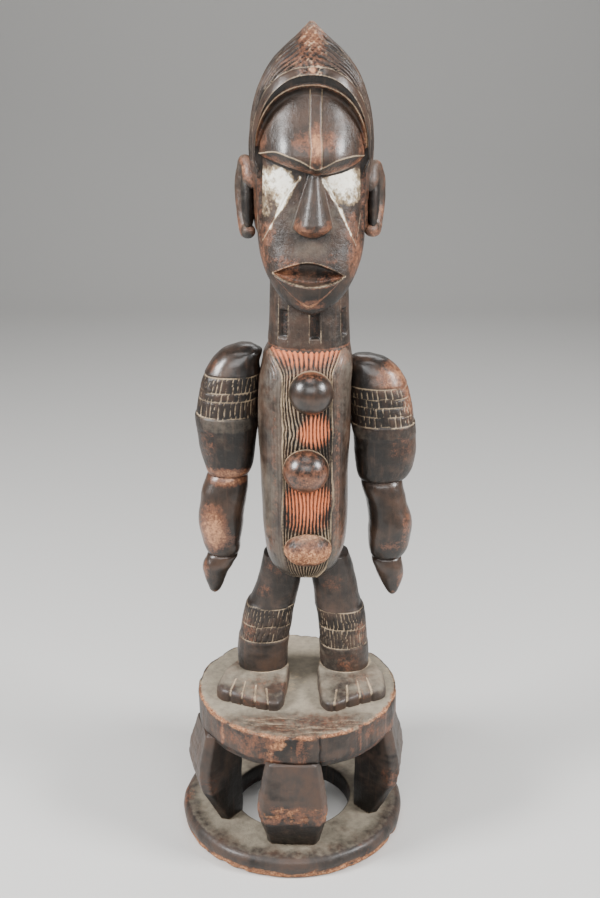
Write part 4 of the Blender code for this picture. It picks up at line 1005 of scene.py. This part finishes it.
# outlines of the soles, and where the toes part
soles = {
    "left": ((-6, 42), (-3, 8), (-5, -15), (-9, -45), (-14, -54), (-22, -53.5), (-32, -50), (-44, -45),
             (-58, -39.5), (-71, -34), (-76.5, -26), (-74, -14), (-66, 8), (-56, 24), (-50, 42)),
    "right": ((32, 42), (26, 8), (26, -15), (29.5, -45), (35, -54.5), (43, -55.5), (53, -49.5), (64, -43.5),
              (79, -37), (90, -32), (95, -26), (94, -6), (88, 14), (82, 26), (76, 42)),
}
toeGaps = {"left": (-24, -37, -50, -62), "right": (42, 55, 68, 80)}
discTop = 154.5


def evenOutline(corners, count, softness):
    # points evenly spaced round a closed outline, its corners rounded by averaging neighbours
    ring = np.array(corners + corners[:1], float)
    length = np.concatenate([[0], np.cumsum(np.linalg.norm(np.diff(ring, axis=0), axis=1))])
    spot = np.arange(count) * length[-1] / count
    even = np.stack([np.interp(spot, length, ring[:, 0]), np.interp(spot, length, ring[:, 1])], axis=1)
    for _ in range(softness):
        even = (np.roll(even, 1, 0) + 2 * even + np.roll(even, -1, 0)) / 4
    return even


def makeFoot(piece, side, columns=210):
    # outline of the sole carried up its wall, rounded over and closed across the sloping top
    outline = evenOutline(soles[side], columns, 4)
    area = np.sum(outline[:, 0] * np.roll(outline[:, 1], -1) - np.roll(outline[:, 0], -1) * outline[:, 1])
    if area < 0:
        outline = outline[::-1]
    middle = outline.mean(axis=0)
    bend = np.linspace(0.15, pi / 2, 12)
    inset = np.concatenate([np.zeros(10), 3.0 - 3.0 * np.cos(bend), np.linspace(3.5, 26, 42)])[:, None]
    level = np.concatenate([np.linspace(-4, 6.3, 10) / 10, 0.62 + 0.38 * np.sin(bend), np.ones(42)])
    inward = middle - outline
    span = np.linalg.norm(inward, axis=1)
    scale = 1 - np.clip(inset * 1.6 / span.mean(), 0, 0.97)
    x = middle[0] - inward[:, 0] * scale
    y = middle[1] - inward[:, 1] * scale
    slope = limit((y + 50) / 45)
    top = 10 + 6.5 * slope
    z = discTop + top * level[:, None]
    points = np.stack([x, y, z], axis=2)
    cut = np.zeros(x.shape)
    for gap in toeGaps[side]:
        frontY = np.interp(gap, *np.array(sorted(c for c in soles[side] if c[1] < -25)).T)
        lean = (gap - middle[0]) * 0.18
        distance = lineDistance(x, y, ((gap + lean * 0.4, frontY - 8), (gap - lean, frontY + 21)))
        cut = np.maximum(cut, 1 - limit(distance / 1.3) ** 2)
    swell = 0.8 * smoothStep(-26, -38, y) * (1 - cut)
    points = lifted(points, swell - 1.3 * cut)
    ankle = bell(np.hypot((x - limbCuts[side + "Leg"][-1][1]) / 25, (y - 18) / 24) - 1.03, 0.07)
    masks = {"groove": limit(0.95 * cut * smoothStep(0.3, 0.8, level)[:, None] + 0.8 * ankle),
             "dust": limit((0.3 + 0.35 * smoothStep(-48, 5, y)) * level[:, None] ** 2
                         + 0.35 * softNoise(points, 16, 82)),
             "wear": 0.18 + 0.2 * softNoise(points, 18, 83), "shade": 0.2}
    points = handWornAndShaded(points, masks, 0.5, 81, edgeWear=0.25)
    addShell(piece, points, masks)


discSet = {
    "radius": 102.5, "thickness": 36, "centre": (5.5, 0), "underInset": 4, "underBevel": 8, "topBevel": 2.5,
    "scratches": ((0.05, -77), (-0.06, -83), (0.12, -72), (-0.02, -89), (-0.14, -80), (0.2, -66), (-0.2, -68),
                  (0.03, -94), (0.1, -86)),  # lean of each one, and y where it crosses the middle
}
ringSet = {"radius": 116.5, "height": 22, "hole": 59, "rounding": 9, "footInset": 1.5}


def joinProfile(*parts):
    # one outline of radius and height out of several runs, each a pair of numbers or arrays
    return np.concatenate([np.column_stack(np.broadcast_arrays(*part)) for part in parts])


def makeDisc(piece, columns=420):
    # a turned outline: underside, leaning wall, chipped rim and tooled top
    ds = discSet
    wide, under = ds["radius"], discTop - ds["thickness"]
    rise, bend = np.linspace(0.15, 1, 7), np.linspace(0.3, pi / 2, 5)
    profile = joinProfile(
        (np.linspace(12, wide - ds["underInset"], 10), under),
        (wide - ds["underInset"] * (1 - rise), under + ds["underBevel"] * rise),
        (wide, np.linspace(under + ds["underBevel"] + 1.5, discTop - ds["topBevel"], 20)),
        (wide - ds["topBevel"] * (1 - np.cos(bend)), discTop - ds["topBevel"] * (1 - np.sin(bend))),
        (np.linspace(wide - ds["topBevel"] - 1, 3, 62), discTop))
    radius, height = profile[:, :1], profile[:, 1:]
    turn = frontDense(columns, 0.45) * 2 * pi - pi / 2
    x = ds["centre"][0] + radius * np.cos(turn)
    y = ds["centre"][1] + radius * np.sin(turn)
    z = height + 0 * x
    points = np.stack([x, y, z], axis=2)
    outer = smoothStep(ds["radius"] - 9, ds["radius"] - 1.5, radius)
    rim = bell(height - discTop + 0.5, 3.2) * outer
    facingFront = smoothStep(20, -40, y)
    chips = smoothStep(-0.05, 0.5, roughNoise(points, (10, 10, 8), 91)) * rim
    onTop = smoothStep(discTop - 0.6, discTop - 0.1, z) * (radius < ds["radius"] - 3)
    arcs = 0
    for line, (lean, offset) in enumerate(ds["scratches"]):
        distance = y - offset - lean * x - ((x - 12) ** 2) / 560 - 2.2 * softNoise(points, 20, 92 + line)
        patchy = smoothStep(-0.6, 0.1, softNoise(points, (30, 14, 12), 192 + line))
        arcs = arcs + bell(distance, 1.3) * patchy * smoothStep(85, 60, np.abs(x - 8))
    arcs = limit(arcs) * onTop
    crack = bell(x - 27.5 - 1.2 * softNoise(points, (50, 50, 7), 97), 0.8) * (y < -60) * outer
    notch = bell(y + 8 + 0.8 * softNoise(points, 9, 98), 0.9) * smoothStep(-78, -84, x) * onTop
    sink = 3.0 * chips * (0.4 + 0.6 * facingFront) + 0.7 * arcs + 1.6 * crack + 1.0 * notch
    adzed = 0.4 + 0.5 * smoothStep(0.2, -0.5, roughNoise(points, (7, 7, 40), 109))
    sink = sink + outer * (adzed + softNoise(points, (20, 20, 40), 99))
    sink = sink + 0.3 * onTop * roughNoise(points, 12, 100)
    points = lifted(points, -sink)
    wall = outer * (1 - onTop)
    marks = smoothStep(0.0, 0.7, roughNoise(points, (5, 5, 34), 108)) * wall
    lowWall = smoothStep(discTop - 22, discTop - 30, z)
    trodden = bell(y + 80, 28, 4) * bell(x - 10, 98, 4)
    trodden = trodden * limit(1.25 + 0.8 * roughNoise(points, (26, 7, 9), 106))
    masks = {
        "dust": limit((1.0 - 0.78 * trodden) * onTop + 0.04 * wall),
        "raw": limit(0.8 * rim * facingFront * smoothStep(-0.6, 0.3, roughNoise(points, (13, 13, 7), 101))
                     + 0.35 * chips + 0.7 * wall * facingFront * bell(x + 8, 26)
                     * smoothStep(-0.2, 0.45, roughNoise(points, (12, 12, 8), 102))),
        "wear": limit(0.4 * marks + wall * (0.12 + 0.35 * smoothStep(-0.1, 0.6, roughNoise(points, 20, 103)))
                    + 0.26 * trodden * onTop),
        "groove": limit(0.5 * arcs + 0.6 * rim * smoothStep(-0.3, 0.3, roughNoise(points, 9, 107))),
        "kaolin": 0.35 * onTop * (1 - trodden) * smoothStep(-0.1, 0.7, roughNoise(points, 26, 105)),
        # painted shade on the lower band of the wall; the wall, the crack and the notch are darker
        "shade": 0.2 + 0.5 * trodden * onTop - 0.6 * crack - 0.5 * notch - 0.3 * lowWall - 0.25 * wall,
    }
    points = handWornAndShaded(points, masks, 0.5, 104, edgeWear=0.3)
    addShell(piece, points, masks)


def makeRing(piece, columns=380):
    # a turned outline round the hole: inner wall, rough foot, outer wall and rounded shoulder
    rs = ringSet
    wide, high, hole, rounding = rs["radius"], rs["height"], rs["hole"], rs["rounding"]
    down, up, bend = np.linspace(0, 1, 8), np.linspace(0.1, 1, 10), np.linspace(0, pi / 2, 9)
    profile = joinProfile(
        (hole + 1.0 - down, high * (1 - down)),
        (np.linspace(hole + 2, wide - rs["footInset"], 18), 0),
        (wide - rs["footInset"] * (1 - up), 1.5 + (high - rounding - 1.5) * up),
        (wide - rounding * (1 - np.cos(bend)), high - rounding * (1 - np.sin(bend))),
        (np.linspace(wide - rounding - 2, hole + 3, 26), high))
    for _ in range(3):
        profile = (np.roll(profile, 1, 0) + 2 * profile + np.roll(profile, -1, 0)) / 4
    profile[:, 1] = profile[:, 1] - profile[:, 1].min()
    radius, height = profile[:, :1], profile[:, 1:]
    turn = frontDense(columns, 0.45) * 2 * pi - pi / 2
    x, y = radius * np.cos(turn), radius * np.sin(turn)
    points = np.stack([x, y, height + 0 * x], axis=2)
    points = np.concatenate([points, points[:1]])
    radius, height = np.append(radius, radius[:1], 0), np.append(height, height[:1], 0)
    x, y, z = points[..., 0], points[..., 1], points[..., 2]
    outer = smoothStep(wide - 17, wide - 9, radius)
    foot = bell(z, 8.5 + 4.5 * roughNoise(points, (24, 24, 90), 118), 4) * outer
    facingFront = smoothStep(60, -30, y)
    chips = smoothStep(0.0, 0.6, roughNoise(points, (13, 13, 8), 111)) * foot
    wobble = 1.6 * softNoise(points, (26, 26, 60), 112) * outer
    top = smoothStep(rs["height"] - 2, rs["height"] - 0.4, z)
    push = -2.6 * chips * (0.3 + 0.7 * facingFront) - 0.3 - 0.8 * np.abs(wobble)
    direction = np.stack([np.cos(turn) + 0 * x, np.sin(turn) + 0 * x, 0 * x], axis=2)
    points = points + direction * (push * outer)[..., None]
    points[..., 2] = points[..., 2] + top * 0.25 * roughNoise(points, 14, 113)
    settled = 0.95 * top * (1 - 0.5 * smoothStep(92, 106, radius))
    settled = settled * (0.9 + 0.4 * roughNoise(points, 22, 119))
    rawFoot = 1.1 * foot * smoothStep(-0.8, 0.0, roughNoise(points, (12, 12, 6), 115))
    masks = {
        "dust": limit(settled + 0.15 * outer * smoothStep(-0.2, 0.6, roughNoise(points, 30, 114))),
        "raw": limit(facingFront * rawFoot + 0.5 * chips),
        "wear": 0.45 * outer * smoothStep(-0.2, 0.7, roughNoise(points, 24, 116)),
        # painted shade in the hole and on the underside
        "shade": 0.1 - 0.4 * (1 - outer) * (1 - top),
    }
    addRing(piece, points, masks)


def addRing(piece, points, masks):
    # a closed band: its last row lies on its first, so no end needs a fan
    rows, columns = points.shape[0] - 1, points.shape[1]
    index = piece["count"] + np.arange(rows * columns).reshape(rows, columns)
    right = np.roll(index, -1, 1)
    quads = np.stack([index, right, np.roll(right, -1, 0), np.roll(index, -1, 0)], axis=-1)
    piece["quads"].append(quads.reshape(-1, 4))
    piece["points"].append(points[:-1].reshape(-1, 3))
    masks["shade"] = limit(masks["shade"] + 0.5 + 0.5 * roughNoise(points, 40, 117))
    masks["wear"] = limit(masks["wear"] + 0.2 * smoothStep(0.12, 0.4, sharpness(points, 2)))
    for name in maskNames:
        values = np.broadcast_to(masks.get(name, 0.0), points.shape[:2])[:-1]
        piece["masks"][name].append(values.ravel())
    piece["count"] += rows * columns


postSet = {
    "centre": (4.5, -2), "innerReach": 62, "innerWidth": 26, "corner": 8, "faceShare": 0.82,
    "levels": ((17, 85, 52), (24, 88, 54), (60, 107, 66), (76, 110, 70), (93, 108, 66), (123, 100, 54)),
    "angles": (268, 196, 352, 90),
}


def makePost(piece, angle, rows=64, columns=120, seed=1):
    # six-cornered outline whose reach and width change with height, with softened corners
    ps = postSet
    level = np.linspace(17, 123, rows)
    table = np.array(ps["levels"], float)
    reach = np.interp(level, table[:, 0], table[:, 1])
    width = np.interp(level, table[:, 0], table[:, 2])
    for _ in range(2):
        reach = np.convolve(np.pad(reach, 1, "edge"), (0.25, 0.5, 0.25), "valid")
        width = np.convolve(np.pad(width, 1, "edge"), (0.25, 0.5, 0.25), "valid")
    outward = np.array([np.cos(radians(angle)), np.sin(radians(angle))])
    sideways = np.array([-outward[1], outward[0]])
    rings = []
    for r, w, z in zip(reach, width, level):
        corners = ((ps["innerReach"], -ps["innerWidth"]), (r - ps["corner"], -w), (r, -w * ps["faceShare"]),
                   (r, w * ps["faceShare"]), (r - ps["corner"], w), (ps["innerReach"], ps["innerWidth"]))
        flat = evenOutline(tuple(corners), columns, 1)
        plan = np.array(ps["centre"]) + flat[:, :1] * outward + flat[:, 1:] * sideways / 2
        rings.append(np.column_stack([plan, np.full(columns, z)]))
    points = np.array(rings)
    points = faceOutward(points, points.mean(axis=1, keepdims=True))
    x, y, z = points[..., 0], points[..., 1], points[..., 2]
    out = (x - ps["centre"][0]) * outward[0] + (y - ps["centre"][1]) * outward[1]
    outerFace = smoothStep(82, 96, out)
    ridge = bell(z - 70, 13, 4) * outerFace
    speckled = 1.0 if angle == ps["angles"][0] else 0.35  # the front post is rubbed raw, the others less
    low = smoothStep(61, 55, z)
    foot = bell(z - 22.5, 1.6)
    relief = -0.9 * smoothStep(0.0, 0.6, roughNoise(points, (7, 7, 5), seed + 120)) * ridge
    strokes = softNoise(points, (16, 16, 3.2), seed + 125) * outerFace * (1 - low)
    relief = relief + 0.4 * strokes
    points = lifted(points, relief + 0.3 * softNoise(points, (8, 8, 26), seed + 121))
    masks = {
        "dust": 0.1 * outerFace * (1 - low),
        "wear": limit(0.1 * outerFace * (1 + softNoise(points, 20, seed + 126)) * (1 - low)
                    + 0.45 * speckled * ridge * smoothStep(-0.6, 0.3, roughNoise(points, 9, seed + 122))),
        "raw": 0.6 * speckled * ridge * smoothStep(-0.35, 0.5, roughNoise(points, (7, 7, 5), seed + 123)),
        "groove": 0.5 * foot,
        # painted light on the outer faces and along the raised tool strokes, painted shade on the lower
        # facets facing down and on the inner faces
        "shade": 0.3 * outerFace + 0.35 * strokes - 1.1 * low - 0.3 * (1 - outerFace),
    }
    points = handWornAndShaded(points, masks, 0.6, seed + 124, edgeWear=0.2)
    addShell(piece, points, masks)


grainGroup = makeGrainGroup()
breakGroup = makeBreakGroup()
patinaWood = makeWood("patinaWood", woodFinish, grainGroup, breakGroup)
standFinish = {**woodFinish, "roughness": 0.5, "bump": 0.55,
               "dark": (0.038, 0.029, 0.024), "dust": (0.370, 0.320, 0.238)}
standWood = makeWood("standWood", standFinish, grainGroup, breakGroup)
print("wood ready")

hair = newPiece("carvedHair")
makeHair(hair)
hairItem = finishPiece(hair, patinaWood)

head = newPiece("carvedHead")
makeHeadBlock(head)
for side in ("left", "right"):
    makeEar(head, side)
makeNeck(head)
headItem = finishPiece(head, patinaWood)

torso = newPiece("carvedTorso")
makeTrunk(torso)
for knob in knobSet:
    makeKnob(torso, knob)
armParts = [side + part for side in ("left", "right") for part in ("UpperArm", "Forearm", "Hand")]
for index, name in enumerate(armParts):
    rows, columns = ((100, 120), (60, 90), (34, 60))[index % 3]
    makeLimb(torso, name, rows, columns, seed=201 + 10 * index)
torsoItem = finishPiece(torso, patinaWood)

legs = newPiece("carvedLegsAndDisc")
for index, name in enumerate(("leftLeg", "rightLeg")):
    makeLimb(legs, name, 120, 120, seed=281 + 10 * index)
for side in ("left", "right"):
    makeFoot(legs, side)
makeDisc(legs)
legsItem = finishPiece(legs, standWood)

stand = newPiece("carvedStand")
makeRing(stand)
for index, angle in enumerate(postSet["angles"]):
    makePost(stand, angle, seed=301 + 10 * index)
standItem = finishPiece(stand, standWood)

for item in (hairItem, headItem, torsoItem, legsItem, standItem):
    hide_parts("shrine_figure")
print("figure carved")


studioSet = {
    "floorColour": (0.60, 0.59, 0.57), "worldColour": (0.80, 0.82, 0.85), "worldStrength": 0.16,
    "lights": (
        {"name": "leftSoftbox", "place": (-1.30, -0.55, 1.24), "size": (0.5, 0.55), "power": 52.0},
        {"name": "rightSoftbox", "place": (1.34, -0.52, 1.20), "size": (0.5, 0.55), "power": 46.0},
        {"name": "frontSoftbox", "place": (0.0, -1.75, 1.35), "size": (1.5, 0.7), "power": 22.0},
        {"name": "topSoftbox", "place": (0.0, -0.5, 2.0), "size": (1.0, 0.8), "power": 9.0},
        {"name": "backSoftbox", "place": (0.3, 1.6, 1.9), "size": (1.2, 0.8), "power": 12.0},
    ),
    "lookAt": (0.01, 0.0, 0.42),
    "floor": {"radius": 1.2, "reach": 2.2, "halfWidth": 9.0, "front": -9.0, "wallTop": 4.0},
    "camera": {"lens": 50, "sensor": 36, "place": (0.008, -1.125, 0.825), "lookDown": 20.19},
}


def makeFloor():
    # flat floor that sweeps up into a wall behind: a quarter circle joins the two
    shape = studioSet["floor"]
    radius, reach, width = shape["radius"], shape["reach"], shape["halfWidth"]
    bend = np.linspace(0, pi / 2, 24)
    y = np.concatenate([[shape["front"]], reach + radius * np.sin(bend), [reach + radius]])
    z = np.concatenate([[0.0], radius * (1 - np.cos(bend)), [shape["wallTop"]]])
    x = np.array([-width, width])
    points = np.stack(np.broadcast_arrays(x[None, :], y[:, None], z[:, None]), axis=2).reshape(-1, 3)
    first = np.arange(len(y) - 1)[:, None] * 2
    faces = first + np.array([0, 1, 3, 2])
    mesh = bpy.data.meshes.new("floor")
    mesh.from_pydata(points.tolist(), [], faces.tolist())
    mesh.shade_smooth()
    material = bpy.data.materials.new("paleFloor")
    material.use_nodes = True
    shader = material.node_tree.nodes["Principled BSDF"]
    shader.inputs["Base Color"].default_value = (*studioSet["floorColour"], 1.0)
    shader.inputs["Roughness"].default_value = 0.9
    mesh.materials.append(material)
    floor = bpy.data.objects.new("floor", mesh)
    bpy.context.scene.collection.objects.link(floor)


def makeLights():
    # soft rectangles of light round the figure, and a dim even sky
    for entry in studioSet["lights"]:
        lamp = bpy.data.lights.new(entry["name"], "AREA")
        lamp.shape = "RECTANGLE"
        lamp.size, lamp.size_y = entry["size"]
        lamp.energy = entry["power"]
        item = bpy.data.objects.new(entry["name"], lamp)
        item.location = entry["place"]
        aim = Vector(studioSet["lookAt"]) - Vector(entry["place"])
        item.rotation_euler = aim.to_track_quat("-Z", "Y").to_euler()
        bpy.context.scene.collection.objects.link(item)
    world = bpy.data.worlds.new("studio")
    world.use_nodes = True
    background = world.node_tree.nodes["Background"]
    background.inputs["Color"].default_value = (*studioSet["worldColour"], 1.0)
    background.inputs["Strength"].default_value = studioSet["worldStrength"]
    bpy.context.scene.world = world


def makeCamera():
    # in front of the figure at the height of its head, looking down
    view = studioSet["camera"]
    lens = bpy.data.cameras.new("camera")
    lens.lens = view["lens"]
    lens.sensor_width = view["sensor"]
    item = bpy.data.objects.new("camera", lens)
    item.location = view["place"]
    item.rotation_euler = (radians(90 - view["lookDown"]), 0, 0)
    bpy.context.scene.collection.objects.link(item)
    bpy.context.scene.camera = item


makeFloor()
makeLights()
makeCamera()
print("studio ready")
